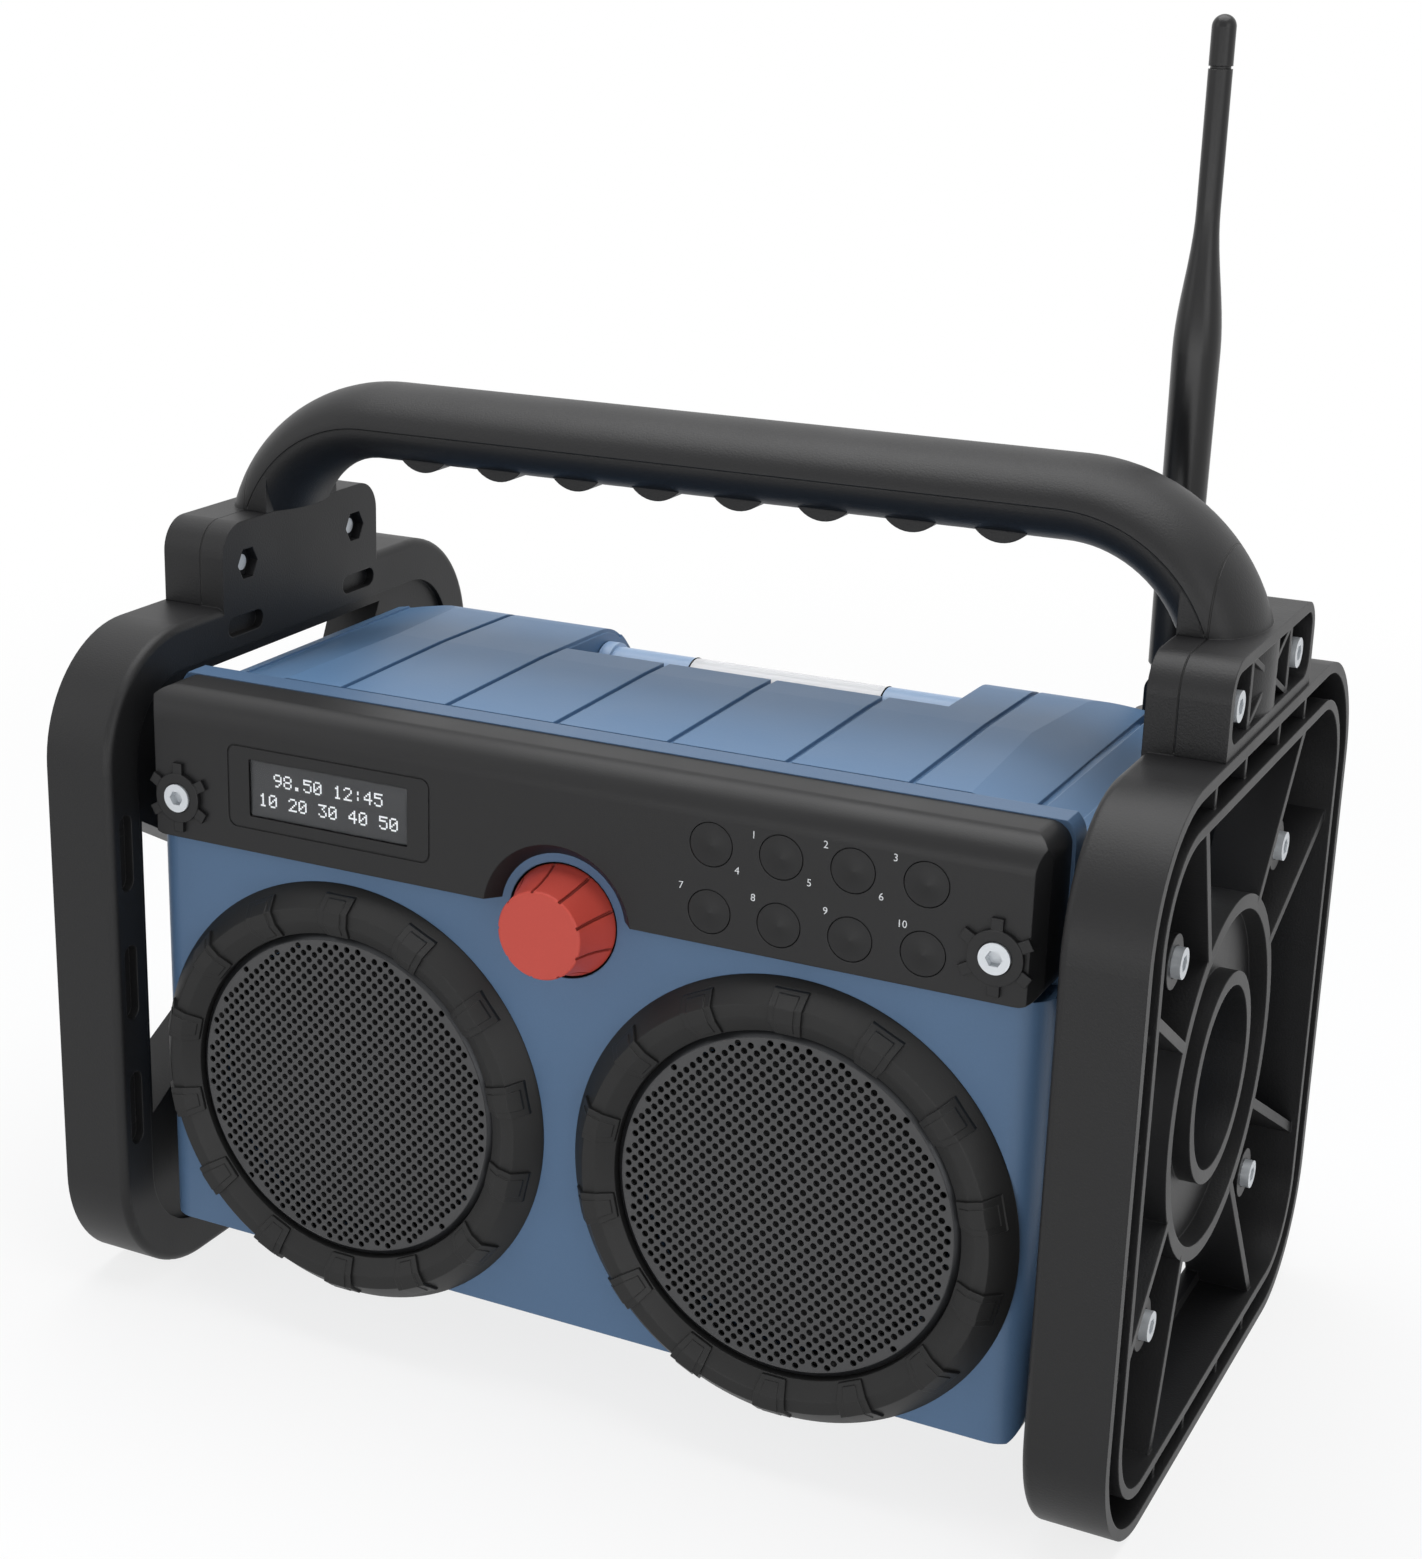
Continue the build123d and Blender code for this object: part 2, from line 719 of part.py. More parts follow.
with BuildPart() as control_knob:
    with BuildSketch(Plane(origin=(0, 0, knob_z), x_dir=(1, 0, 0), z_dir=(0, 0, 1))):
        with BuildLine():
            ThreePointArc(
                (knob_base_radius, knob_base_y),
                (knob_waist_radius, knob_waist_y),
                (knob_face_radius, knob_face_y + knob_edge_round),
            )
            Polyline(
                (knob_face_radius, knob_face_y + knob_edge_round),
                (knob_face_radius - knob_edge_round, knob_face_y),
                (0, knob_face_y),
                (0, knob_base_y),
                (knob_base_radius, knob_base_y),
            )
        make_face()
    revolve(axis=Axis((0, 0, knob_z), (0, 1, 0)), revolution_arc=360)
    for i in range(knob_flutes):
        a = radians(knob_flute_start + 360 * i / knob_flutes)
        outward = (cos(a), 0, sin(a))
        radial = Plane(origin=(0, 0, knob_z), x_dir=outward, z_dir=(-sin(a), 0, cos(a)))
        with BuildSketch(radial):
            with BuildLine():
                ThreePointArc(
                    (knob_face_radius - flute_depth, knob_face_y),
                    (knob_waist_radius - flute_depth, knob_waist_y),
                    (knob_base_radius - flute_depth, flute_end_y),
                )
                Polyline(
                    (knob_base_radius - flute_depth, flute_end_y),
                    (knob_base_radius + 5, flute_end_y),
                    (knob_base_radius + 5, knob_face_y - 1),
                    (knob_face_radius - flute_depth, knob_face_y - 1),
                    (knob_face_radius - flute_depth, knob_face_y),
                )
            make_face()
        extrude(amount=flute_width / 2, both=True, mode=Mode.SUBTRACT)
    rod_y([(0, knob_z)], shaft_radius, -101.0, 0, mode=Mode.SUBTRACT)
    rod_y([(0, knob_z)], knob_hollow_radius, -94.0, 0, mode=Mode.SUBTRACT)
    rod_y([(0, knob_z)], 6.0, -101.0, knob_hub_y)
    rod_y([(0, knob_z)], shaft_radius, -101.0, 0, mode=Mode.SUBTRACT)
save(control_knob, "control_knob")

with BuildPart() as knob_shaft:
    rod_y([(0, knob_z)], shaft_radius, -101.0, plunger_y - running_gap)
save(knob_shaft, "knob_shaft")

with BuildPart() as encoder_plunger:
    rod_y([(0, knob_z)], 4.0, plunger_y, plunger_y + 1.2)
save(encoder_plunger, "encoder_plunger")

with BuildPart() as encoder_body:
    plate_y((0, knob_z), 14.0, 14.0, 1.0, encoder_front_y, encoder_front_y + 9.0)
    rod_y([(0, knob_z)], encoder_bush_radius - 0.05, cabinet_front_y, encoder_front_y)
    rod_y([(0, knob_z)], shaft_radius + running_gap, -200, 0, mode=Mode.SUBTRACT)
    rod_y([(0, knob_z)], 4.05, plunger_y - 0.1, plunger_y + 2.1, mode=Mode.SUBTRACT)
    block((-7, encoder_front_y + 8.0, knob_z - 7), (7, encoder_front_y + 9.0, knob_z + 7))
save(encoder_body, "encoder_body")

# %% [markdown]
# ## Fasteners and bushings
#
# The panel screws look forwards and the frame screws sideways. Every screw has a hexagon
# socket in its head.

# %%
panel_head_y = panel_face_y - 2.0
panel_bushing_y = panel_face_y - 1.5


def lugs_yz(centre, x0, x1):
    """Six lugs around a bushing whose axis runs along X."""
    with BuildSketch(yz(x0)) as star:
        with Locations(centre):
            with PolarLocations(bushing_radius - 1, bushing_lugs, start_angle=30):
                with Locations(((bushing_lug_radius - bushing_radius + 1) / 2, 0)):
                    Rectangle(bushing_lug_radius - bushing_radius + 1, bushing_lug_width)
    extrude(star.sketch, amount=x1 - x0)


with BuildPart() as panel_bushings:
    for x, z in panel_screw_places:
        rod_y([(x, z)], bushing_radius, panel_bushing_y, panel_face_y)
        with BuildSketch(xz(panel_face_y)):
            with Locations((x, z)):
                with PolarLocations(bushing_radius - 1, bushing_lugs, start_angle=30):
                    with Locations(((bushing_lug_radius - bushing_radius + 1) / 2, 0)):
                        Rectangle(bushing_lug_radius - bushing_radius + 1, bushing_lug_width)
        extrude(amount=1.2)
        rod_y([(x, z)], 4.9, panel_face_y, cabinet_front_y)
    rod_y(panel_screw_places, screw_head_radius + 0.25, -200, cabinet_front_y - 1.5,
          mode=Mode.SUBTRACT)
    rod_y(panel_screw_places, screw_hole_radius, -200, 0, mode=Mode.SUBTRACT)
save(panel_bushings, "panel_bushings")

with BuildPart() as panel_screws:
    head_rear_y = cabinet_front_y - 1.5
    rod_y(panel_screw_places, screw_head_radius, panel_head_y, head_rear_y)
    rod_y(panel_screw_places, screw_radius, head_rear_y, -75.0)
    with BuildSketch(xz(panel_head_y)):
        with Locations(*panel_screw_places):
            RegularPolygon(hex_key_flats / 2, 6, major_radius=False)
    extrude(amount=-2.5, mode=Mode.SUBTRACT)
save(panel_screws, "panel_screws")

frame_bushing_x = 159.8
frame_seat_x = 157.3
web_outer_x = web_inner_x + web_thickness

with BuildPart() as frame_bushings_right:
    rod_x(frame_screw_places, 9.0, cabinet_half_width, web_inner_x)
    rod_x(frame_screw_places, pad_hole_radius - 0.05, web_inner_x, web_outer_x + 2)
    rod_x(frame_screw_places, bushing_radius, web_outer_x + 2, frame_bushing_x)
    for place in frame_screw_places:
        lugs_yz(place, web_outer_x + 2, web_outer_x + 5)
    rod_x(frame_screw_places, screw_head_radius + 0.25, frame_seat_x, 200, mode=Mode.SUBTRACT)
    rod_x(frame_screw_places, screw_hole_radius, 0, 200, mode=Mode.SUBTRACT)
with BuildPart() as frame_bushings:
    add(frame_bushings_right.part)
    mirror(about=Plane.YZ)
save(frame_bushings, "frame_bushings")

with BuildPart() as frame_screws_right:
    rod_x(frame_screw_places, screw_head_radius, frame_seat_x, frame_seat_x + screw_head_height)
    rod_x(frame_screw_places, screw_radius, frame_boss_inner_x + 2, frame_seat_x)
    with BuildSketch(yz(frame_seat_x + screw_head_height)):
        with Locations(*frame_screw_places):
            RegularPolygon(hex_key_flats / 2, 6, major_radius=False)
    extrude(amount=-2.5, mode=Mode.SUBTRACT)
with BuildPart() as frame_screws:
    add(frame_screws_right.part)
    mirror(about=Plane.YZ)
save(frame_screws, "frame_screws")

handle_seat_x = 160.3
handle_screw_end_x = 146.4
nut_flats = 8.8
nut_pocket_flats = 9.2
nut_inner_x = 147.2
nut_outer_x = 151.2

with BuildPart() as handle_screws_right:
    rod_x(bracket_screw_places, screw_head_radius, handle_seat_x, handle_seat_x + screw_head_height)
    rod_x(bracket_screw_places, screw_radius, handle_screw_end_x, handle_seat_x)
    with BuildSketch(yz(handle_seat_x + screw_head_height)):
        with Locations(*bracket_screw_places):
            RegularPolygon(hex_key_flats / 2, 6, major_radius=False)
    extrude(amount=-2.5, mode=Mode.SUBTRACT)
with BuildPart() as handle_screws:
    add(handle_screws_right.part)
    mirror(about=Plane.YZ)
save(handle_screws, "handle_screws")

with BuildPart() as handle_nuts_right:
    with BuildSketch(yz(nut_inner_x)):
        with Locations(*bracket_screw_places):
            RegularPolygon(nut_flats / 2, 6, major_radius=False)
            Circle(screw_radius, mode=Mode.SUBTRACT)
    extrude(amount=nut_outer_x - nut_inner_x)
with BuildPart() as handle_nuts:
    add(handle_nuts_right.part)
    mirror(about=Plane.YZ)
save(handle_nuts, "handle_nuts")

with BuildPart() as shell_screws:
    rod_y(shell_screw_places, screw_head_radius, 79.0, 84.0)
    rod_y(shell_screw_places, screw_radius, -79.0, 79.0)
    with BuildSketch(xz(84.0)):
        with Locations(*shell_screw_places):
            RegularPolygon(hex_key_flats / 2, 6, major_radius=False)
    extrude(amount=2.5, mode=Mode.SUBTRACT)
save(shell_screws, "shell_screws")

# %% [markdown]
# ## Side frames
#
# Drawn on the right. The rail is a channel that opens outwards. Two hubs and eight
# spokes stand on the web; the four diagonal fields between spokes carry the screw pads,
# the other four fields are open.

# %%
spoke_angles = (30, 60, 120, 150, 210, 240, 300, 330)
pad_angles = (45, 135, 225, 315)


def frame_outline(inset, mode=Mode.ADD):
    """The rounded outline of the frame, drawn inset by a distance, in a YZ sketch."""
    with Locations((0, frame_mid_z)):
        RectangleRounded(
            frame_depth - 2 * inset, frame_height - 2 * inset, frame_corner - inset, mode=mode
        )


def spoke_reach(angle):
    """Distance from the hub centre to the middle of the inner lip at an angle."""
    across = (window_half_depth + inner_lip / 2) / max(abs(cos(radians(angle))), 1e-6)
    up = (window_half_height + inner_lip / 2) / max(abs(sin(radians(angle))), 1e-6)
    return min(across, up)


with BuildPart() as side_frame_right:
    with BuildSketch(yz(frame_inner_x)):
        frame_outline(0)
    extrude(amount=frame_outer_x - frame_inner_x)
    rim = side_frame_right.edges().group_by(Axis.X)[0]
    fillet(rim, frame_edge_fillet)
    # the window, the channel of the rail and its cross ribs
    with BuildSketch(yz(frame_inner_x - 1)):
        frame_outline(rail_depth)
    extrude(amount=40, mode=Mode.SUBTRACT)
    with BuildSketch(yz(frame_inner_x + rail_floor)):
        frame_outline(outer_lip)
        frame_outline(rail_depth - inner_lip, mode=Mode.SUBTRACT)
    extrude(amount=40, mode=Mode.SUBTRACT)
    rib_drop = 1.8
    rib_ends = (outer_lip / 2, rail_depth - inner_lip / 2)
    for p in channel_rib_places:
        for s in (-1, 1):
            low_y, high_y = sorted(s * (frame_depth / 2 - end) for end in rib_ends)
            block(
                (frame_inner_x + 1, low_y, frame_mid_z + p - 1),
                (frame_outer_x - rib_drop, high_y, frame_mid_z + p + 1),
            )
            low_z, high_z = sorted(s * (frame_height / 2 - end) for end in rib_ends)
            block(
                (frame_inner_x + 1, p - 1, frame_mid_z + low_z),
                (frame_outer_x - rib_drop, p + 1, frame_mid_z + high_z),
            )
    # the web: a ledge around the window, a disc inside the outer hub, and a field for
    # each screw pad
    with BuildSketch(yz(web_inner_x)):
        frame_outline(rail_depth - 1)
        frame_outline(rail_depth + web_ledge, mode=Mode.SUBTRACT)
    extrude(amount=web_thickness)
    with BuildSketch(yz(hub_floor_x - web_thickness)):
        with Locations((0, frame_mid_z)):
            Circle(hub_outer_radius - 1)
    extrude(amount=web_thickness)
    for angle in pad_angles:
        with BuildSketch(yz(web_inner_x)):
            with BuildLine():
                reach = [spoke_reach(angle - 15), spoke_reach(angle + 15)]
                a0, a1 = radians(angle - 15), radians(angle + 15)
                corner_y = (window_half_depth + 1) * (1 if cos(radians(angle)) > 0 else -1)
                corner_z = (window_half_height + 1) * (1 if sin(radians(angle)) > 0 else -1)
                start = hub_outer_radius - 2
                Polyline(
                    (start * cos(a0), frame_mid_z + start * sin(a0)),
                    (reach[0] * cos(a0), frame_mid_z + reach[0] * sin(a0)),
                    (corner_y, frame_mid_z + corner_z),
                    (reach[1] * cos(a1), frame_mid_z + reach[1] * sin(a1)),
                    (start * cos(a1), frame_mid_z + start * sin(a1)),
                    close=True,
                )
            make_face()
            frame_outline(rail_depth - 2, mode=Mode.INTERSECT)
        extrude(amount=web_thickness)
    # the two hubs
    with BuildSketch(yz(web_inner_x)):
        with Locations((0, frame_mid_z)):
            Circle(hub_outer_radius)
            Circle(hub_outer_radius - hub_wall, mode=Mode.SUBTRACT)
            Circle(core_outer_radius)
    extrude(amount=hub_face_x - web_inner_x)
    # the spokes rise towards the rail
    for angle in spoke_angles:
        reach = spoke_reach(angle)
        along = (0, cos(radians(angle)), sin(radians(angle)))
        normal = (0, -sin(radians(angle)), cos(radians(angle)))
        upright = Plane(origin=(0, 0, frame_mid_z), x_dir=along, z_dir=normal)
        with BuildSketch(upright):
            with BuildLine():
                inner = hub_outer_radius - hub_wall / 2
                rise = upright.y_dir.X
                Polyline(
                    (inner, rise * web_inner_x),
                    (reach, rise * web_inner_x),
                    (reach, rise * spoke_tip_x),
                    (inner, rise * hub_face_x),
                    close=True,
                )
            make_face()
        extrude(amount=spoke_thickness / 2, both=True)
    rod_x([(0, frame_mid_z)], core_bore_radius, 100, 200, mode=Mode.SUBTRACT)
    # raised screw pads
    rod_x(frame_screw_places, pad_radius, web_inner_x, web_outer_x + 2)
    rod_x(frame_screw_places, pad_hole_radius, 100, 200, mode=Mode.SUBTRACT)
    # slots in the floor of the rail
    rail_mid = rail_depth / 2
    with BuildSketch(yz(frame_inner_x - 1)):
        slot_places = [
            (s * (frame_depth / 2 - rail_mid), frame_mid_z + p)
            for s in (-1, 1)
            for p in (-41.5, 0, 41.5)
        ]
        with Locations(*slot_places):
            SlotOverall(slot_length, slot_width, rotation=90)
        with Locations((-32.5, rail_mid), (32.5, rail_mid)):
            SlotOverall(19.0, slot_width)
        with Locations((-32.5, frame_height - rail_mid), (32.5, frame_height - rail_mid)):
            SlotOverall(19.0, slot_width)
    extrude(amount=rail_floor + 0.9, mode=Mode.SUBTRACT)
    # the frame's half of the bracket, with nut pockets and a slot for the grip's tongue
    with BuildSketch(yz(frame_inner_x)):
        bracket_bottom_z = frame_height - outer_lip
        bracket_height = bracket_top_z - bracket_bottom_z
        with Locations((0, bracket_bottom_z + bracket_height / 2)):
            Rectangle(bracket_width, bracket_height)
    extrude(amount=bracket_seam_x - frame_inner_x)
    top_edges = (
        side_frame_right.edges()
        .filter_by(Axis.X)
        .filter_by(lambda e: abs(e.center().Z - bracket_top_z) < 0.1)
    )
    fillet(top_edges, bracket_corner)
    with BuildSketch(yz(frame_inner_x)):
        with Locations(*bracket_screw_places):
            RegularPolygon(nut_pocket_flats / 2, 6, major_radius=False)
    extrude(amount=nut_outer_x - frame_inner_x, mode=Mode.SUBTRACT)
    rod_x(bracket_screw_places, screw_hole_radius, 100, 200, mode=Mode.SUBTRACT)
    block((148.4, -12, 222), (bracket_seam_x + 1, 12, 240), mode=Mode.SUBTRACT)
save(side_frame_right, "side_frame_right")
side_frame_left = mirrored(side_frame_right)
save(side_frame_left, "side_frame_left")

# %% [markdown]
# ## Handle
#
# An oval tube is swept along the centre line and split along it. The outer half carries
# the outer halves of the brackets, the inner half the finger bumps and two saddle blocks.

# %%
leg_bottom_z = frame_height + 0.2


def grip_path():
    """The centre line: up one leg, over the top and down the other leg."""
    with BuildLine(Plane.XZ) as path:
        Line((-grip_leg_x, leg_bottom_z), (-grip_leg_x, grip_arc_z))
        CenterArc((-grip_arc_x, grip_arc_z), grip_bend_radius, 180, -90)
        Line((-grip_arc_x, grip_centre_z), (grip_arc_x, grip_centre_z))
        CenterArc((grip_arc_x, grip_arc_z), grip_bend_radius, 90, -90)
        Line((grip_leg_x, grip_arc_z), (grip_leg_x, leg_bottom_z))
    return path.wires()[0]


def grip_tube(half_depth, half_height):
    path = grip_path()
    with BuildPart() as tube:
        with BuildSketch(Plane.XY.offset(leg_bottom_z)):
            with Locations((-grip_leg_x, 0)):
                Ellipse(half_height, half_depth)
        sweep(path=path)
    return tube.part


grip_form = grip_tube(grip_half_depth, grip_half_height)
grip_core = grip_tube(grip_half_depth - grip_shell, grip_half_height - grip_shell)

with BuildPart() as inside_of_bend:
    with BuildSketch(Plane.XZ):
        with BuildLine():
            Line((-grip_leg_x, leg_bottom_z - 20), (-grip_leg_x, grip_arc_z))
            CenterArc((-grip_arc_x, grip_arc_z), grip_bend_radius, 180, -90)
            Line((-grip_arc_x, grip_centre_z), (grip_arc_x, grip_centre_z))
            CenterArc((grip_arc_x, grip_arc_z), grip_bend_radius, 90, -90)
            Line((grip_leg_x, grip_arc_z), (grip_leg_x, leg_bottom_z - 20))
            Line((grip_leg_x, leg_bottom_z - 20), (-grip_leg_x, leg_bottom_z - 20))
        make_face()
    extrude(amount=40, both=True)

with BuildPart() as handle_outer:
    add(grip_form)
    add(grip_core, mode=Mode.SUBTRACT)
    add(inside_of_bend.part, mode=Mode.SUBTRACT)
    for s in (-1, 1):
        low_x, high_x = sorted((s * bracket_seam_x, s * bracket_outer_x))
        with BuildSketch(yz(low_x)):
            with Locations((0, (frame_height + bracket_top_z) / 2)):
                RectangleRounded(
                    bracket_width, bracket_top_z - frame_height, bracket_corner - 0.01
                )
            with Locations((0, frame_height + bracket_corner / 2)):
                Rectangle(bracket_width, bracket_corner)
        extrude(amount=high_x - low_x)
        # pocket on the outer side, with two upright ribs and a cross between them
        floor_x = s * (bracket_seam_x + bracket_wall)
        low_x, high_x = sorted((floor_x, s * 200))
        pocket_low = frame_height + bracket_wall
        pocket_high = bracket_top_z - bracket_wall
        with BuildSketch(yz(low_x)):
            with Locations((0, (pocket_low + pocket_high) / 2)):
                RectangleRounded(bracket_width - 2 * bracket_wall, pocket_high - pocket_low, 5.0)
        extrude(amount=high_x - low_x, mode=Mode.SUBTRACT)
        low_x, high_x = sorted((s * (bracket_seam_x + 1), s * (bracket_outer_x - 1)))
        for y in (-bracket_rib_y, bracket_rib_y):
            block((low_x, y - 1.2, pocket_low - 1), (high_x, y + 1.2, pocket_high + 1))
        rib_span = 2 * bracket_rib_y
        rib_height = pocket_high - pocket_low
        rib_length = sqrt(rib_span**2 + rib_height**2)
        rib_slope = degrees(atan2(rib_height, rib_span))
        with BuildSketch(yz(low_x)):
            for sign in (-1, 1):
                with Locations((0, (pocket_low + pocket_high) / 2)):
                    Rectangle(rib_length, 1.6, rotation=sign * rib_slope)
        extrude(amount=high_x - low_x)
        low_x, high_x = sorted((floor_x, s * handle_seat_x))
        rod_x(bracket_screw_places, 6.0, low_x, high_x)
        rod_x(bracket_screw_places, screw_hole_radius, min(0, s * 200), max(0, s * 200),
              mode=Mode.SUBTRACT)
        # the lower leg of the tube shows in the pocket
        low_x, high_x = sorted((s * bracket_seam_x, s * bracket_outer_x))
        with BuildSketch(xy(frame_height)):
            with Locations((s * grip_leg_x, 0)):
                Ellipse(grip_half_height, grip_half_depth - 2)
            with Locations((s * (bracket_seam_x - 20), 0)):
                Rectangle(40, 60, mode=Mode.SUBTRACT)
        extrude(amount=bracket_top_z - frame_height - 1)
        block((s * bracket_seam_x - 30 if s > 0 else s * bracket_seam_x, -60, 0),
              (s * bracket_seam_x if s > 0 else s * bracket_seam_x + 30, 60, bracket_top_z),
              mode=Mode.SUBTRACT)
save(handle_outer, "handle_outer")

# %% [markdown]
# The inner half: finger bumps along the underside, and a saddle block with a tongue at
# each foot. The tongue drops into the slot of the frame's bracket.

# %%
finger_depth = 1.2
finger_z = grip_centre_z - grip_half_height - finger_depth + finger_radius
finger_length = 1.2 * grip_half_depth
tongue_half_width = 12.0
tongue_inner_x = 148.4
foot_floor_x = 150.3

with BuildPart() as handle_inner:
    add(grip_form)
    finger_places = [
        ((i - (finger_count - 1) / 2) * finger_pitch, finger_z) for i in range(finger_count)
    ]
    rod_y(finger_places, finger_radius, -finger_length / 2, finger_length / 2)
    for side in (-1, 1):
        low_x, high_x = sorted((side * frame_inner_x, side * bracket_seam_x))
        block(
            (low_x, -grip_half_depth, bracket_top_z), (high_x, grip_half_depth, saddle_top_z)
        )
    add(grip_core, mode=Mode.SUBTRACT)
    add(inside_of_bend.part, mode=Mode.INTERSECT)
    block((-200, -100, 0), (200, 100, bracket_top_z), mode=Mode.SUBTRACT)
    for side in (-1, 1):
        # a floor closes the tube above the bracket and carries the tongue
        low_x, high_x = sorted((side * (frame_inner_x + 1), side * foot_floor_x))
        block((low_x, -16, bracket_top_z), (high_x, 16, bracket_top_z + grip_shell))
        low_x, high_x = sorted((side * tongue_inner_x, side * foot_floor_x))
        block(
            (low_x, -tongue_half_width + 0.1, 222.2),
            (high_x, tongue_half_width - 0.1, bracket_top_z + 1),
        )
save(handle_inner, "handle_inner")

# %% [markdown]
# ## Speakers
#
# A bevelled rubber ring with fourteen lugs holds a perforated grille in front of each
# driver. The ring's profile is revolved around the axis of the speaker.

# %%
ring_profile = [
    (ring_shelf_radius, cabinet_front_y),
    (ring_outer_radius, cabinet_front_y),
    (ring_shoulder_radius, ring_shoulder_y),
    (ring_flat_outer_radius, ring_front_y),
    (ring_flat_inner_radius, ring_front_y),
    (ring_inner_radius, ring_inner_y),
    (ring_inner_radius, ring_shelf_y),
    (ring_shelf_radius, ring_shelf_y),
]
grille_rear_y = grille_front_y + grille_thickness
grille_profile = [
    (0, grille_front_y),
    (grille_radius, grille_front_y),
    (grille_brim_radius, grille_brim_y),
    (grille_brim_radius, ring_shelf_y),
    (ring_shelf_radius + 0.3, ring_shelf_y),
    (ring_shelf_radius + 0.3, grille_rear_y),
    (0, grille_rear_y),
]
lug_profile = [
    (ring_flat_outer_radius, cabinet_front_y),
    (ring_outer_radius + 0.3, cabinet_front_y),
    (ring_shoulder_radius + 0.7, ring_shoulder_y - 0.3),
    (ring_flat_outer_radius + 0.4, ring_front_y - lug_rise),
    (ring_flat_inner_radius - 0.3, ring_front_y - lug_rise),
    (ring_inner_radius + 0.3, ring_inner_y - lug_rise),
    (ring_inner_radius + 0.3, ring_inner_y),
    (ring_flat_inner_radius, ring_front_y + 1),
]
lug_outline = [
    (lug_outer_radius, -5.0),
    (ring_flat_inner_radius, -4.7),
    (ring_inner_radius, -3.6),
    (ring_inner_radius, 3.6),
    (ring_flat_inner_radius, 4.7),
    (lug_outer_radius, 5.0),
]


def speaker_parts(x, side):
    axis = Axis((x, 0, speaker_z), (0, 1, 0))
    spread = Plane(origin=(x, 0, speaker_z), x_dir=(1, 0, 0), z_dir=(0, 0, 1))

    with BuildPart() as lugs:
        with BuildSketch(spread):
            with BuildLine():
                Polyline(*lug_profile, close=True)
            make_face()
        revolve(axis=axis, revolution_arc=360)
        with BuildSketch(xz(cabinet_front_y)):
            with Locations((x, speaker_z)):
                with PolarLocations(0, ring_lugs, start_angle=90):
                    Polygon(*lug_outline, align=None)
        extrude(amount=20, mode=Mode.INTERSECT)

    with BuildPart() as ring:
        with BuildSketch(spread):
            with BuildLine():
                Polyline(*ring_profile, close=True)
            make_face()
        revolve(axis=axis, revolution_arc=360)
        add(lugs.part)
    save(ring, f"speaker_ring_{side}")

    with BuildPart() as grille:
        with BuildSketch(spread):
            with BuildLine():
                Polyline(*grille_profile, close=True)
            make_face()
        revolve(axis=axis, revolution_arc=360)
    save(grille, f"grille_{side}")

    flange_y = baffle_rear_y
    with BuildPart() as basket:
        with BuildSketch(spread):
            with BuildLine():
                Polyline(
                    (44.0, flange_y), (51.5, flange_y), (51.5, flange_y + 2.0),
                    (45.5, flange_y + 2.0), (26.0, flange_y + 25.0), (26.0, flange_y + 28.0),
                    (13.5, flange_y + 28.0), (13.5, flange_y + 26.0), (24.0, flange_y + 26.0),
                    (24.0, flange_y + 24.0), (43.5, flange_y + 1.5), close=True,
                )
            make_face()
        revolve(axis=axis, revolution_arc=360)
        places = [
            (
                x + driver_screw_ring * cos(radians(a)),
                speaker_z + driver_screw_ring * sin(radians(a)),
            )
            for a in driver_screw_angles
        ]
        rod_y(places, driver_screw_radius + 0.1, -100, 0, mode=Mode.SUBTRACT)
    save(basket, f"driver_basket_{side}")

    with BuildPart() as cone:
        with BuildSketch(spread):
            with BuildLine():
                Polyline(
                    (0, flange_y + 10.0), (8.0, flange_y + 11.0), (12.0, flange_y + 13.5),
                    (34.0, flange_y + 3.0), (37.0, flange_y + 1.0), (40.0, flange_y + 1.0),
                    (43.6, flange_y + 0.2), (43.6, flange_y + 0.8), (40.0, flange_y + 1.8),
                    (37.0, flange_y + 1.8), (34.5, flange_y + 4.0), (12.5, flange_y + 14.5),
                    (12.5, flange_y + 24.0), (11.7, flange_y + 24.0), (11.7, flange_y + 14.2),
                    (8.0, flange_y + 11.8), (0, flange_y + 10.8), close=True,
                )
            make_face()
        revolve(axis=axis, revolution_arc=360)
    save(cone, f"driver_cone_{side}")

    with BuildPart() as magnet:
        rod_y([(x, speaker_z)], 30.0, flange_y + 28.0, flange_y + 42.0)
        rod_y([(x, speaker_z)], 10.5, flange_y + 20.0, flange_y + 30.0)
    save(magnet, f"driver_magnet_{side}")


speaker_parts(-speaker_x, "left")
speaker_parts(speaker_x, "right")

with BuildPart() as driver_screws:
    rod_y(driver_screw_places, driver_screw_radius, -89.5, baffle_rear_y + 2.0)
    rod_y(driver_screw_places, 2.9, baffle_rear_y + 2.0, baffle_rear_y + 4.0)
save(driver_screws, "driver_screws")

# %% [markdown]
# ## Antenna
#
# A turning foot with a fork on the post, a cross pin, and a flexible whip that tilts in
# the fork.

# %%
fork_inner = 3.2
fork_outer = 6.8
eye_radius = 5.2
whip = Plane(
    origin=(antenna_x, antenna_y, antenna_pin_z),
    x_dir=(1, 0, 0),
    z_dir=(0, -1, 0),
)

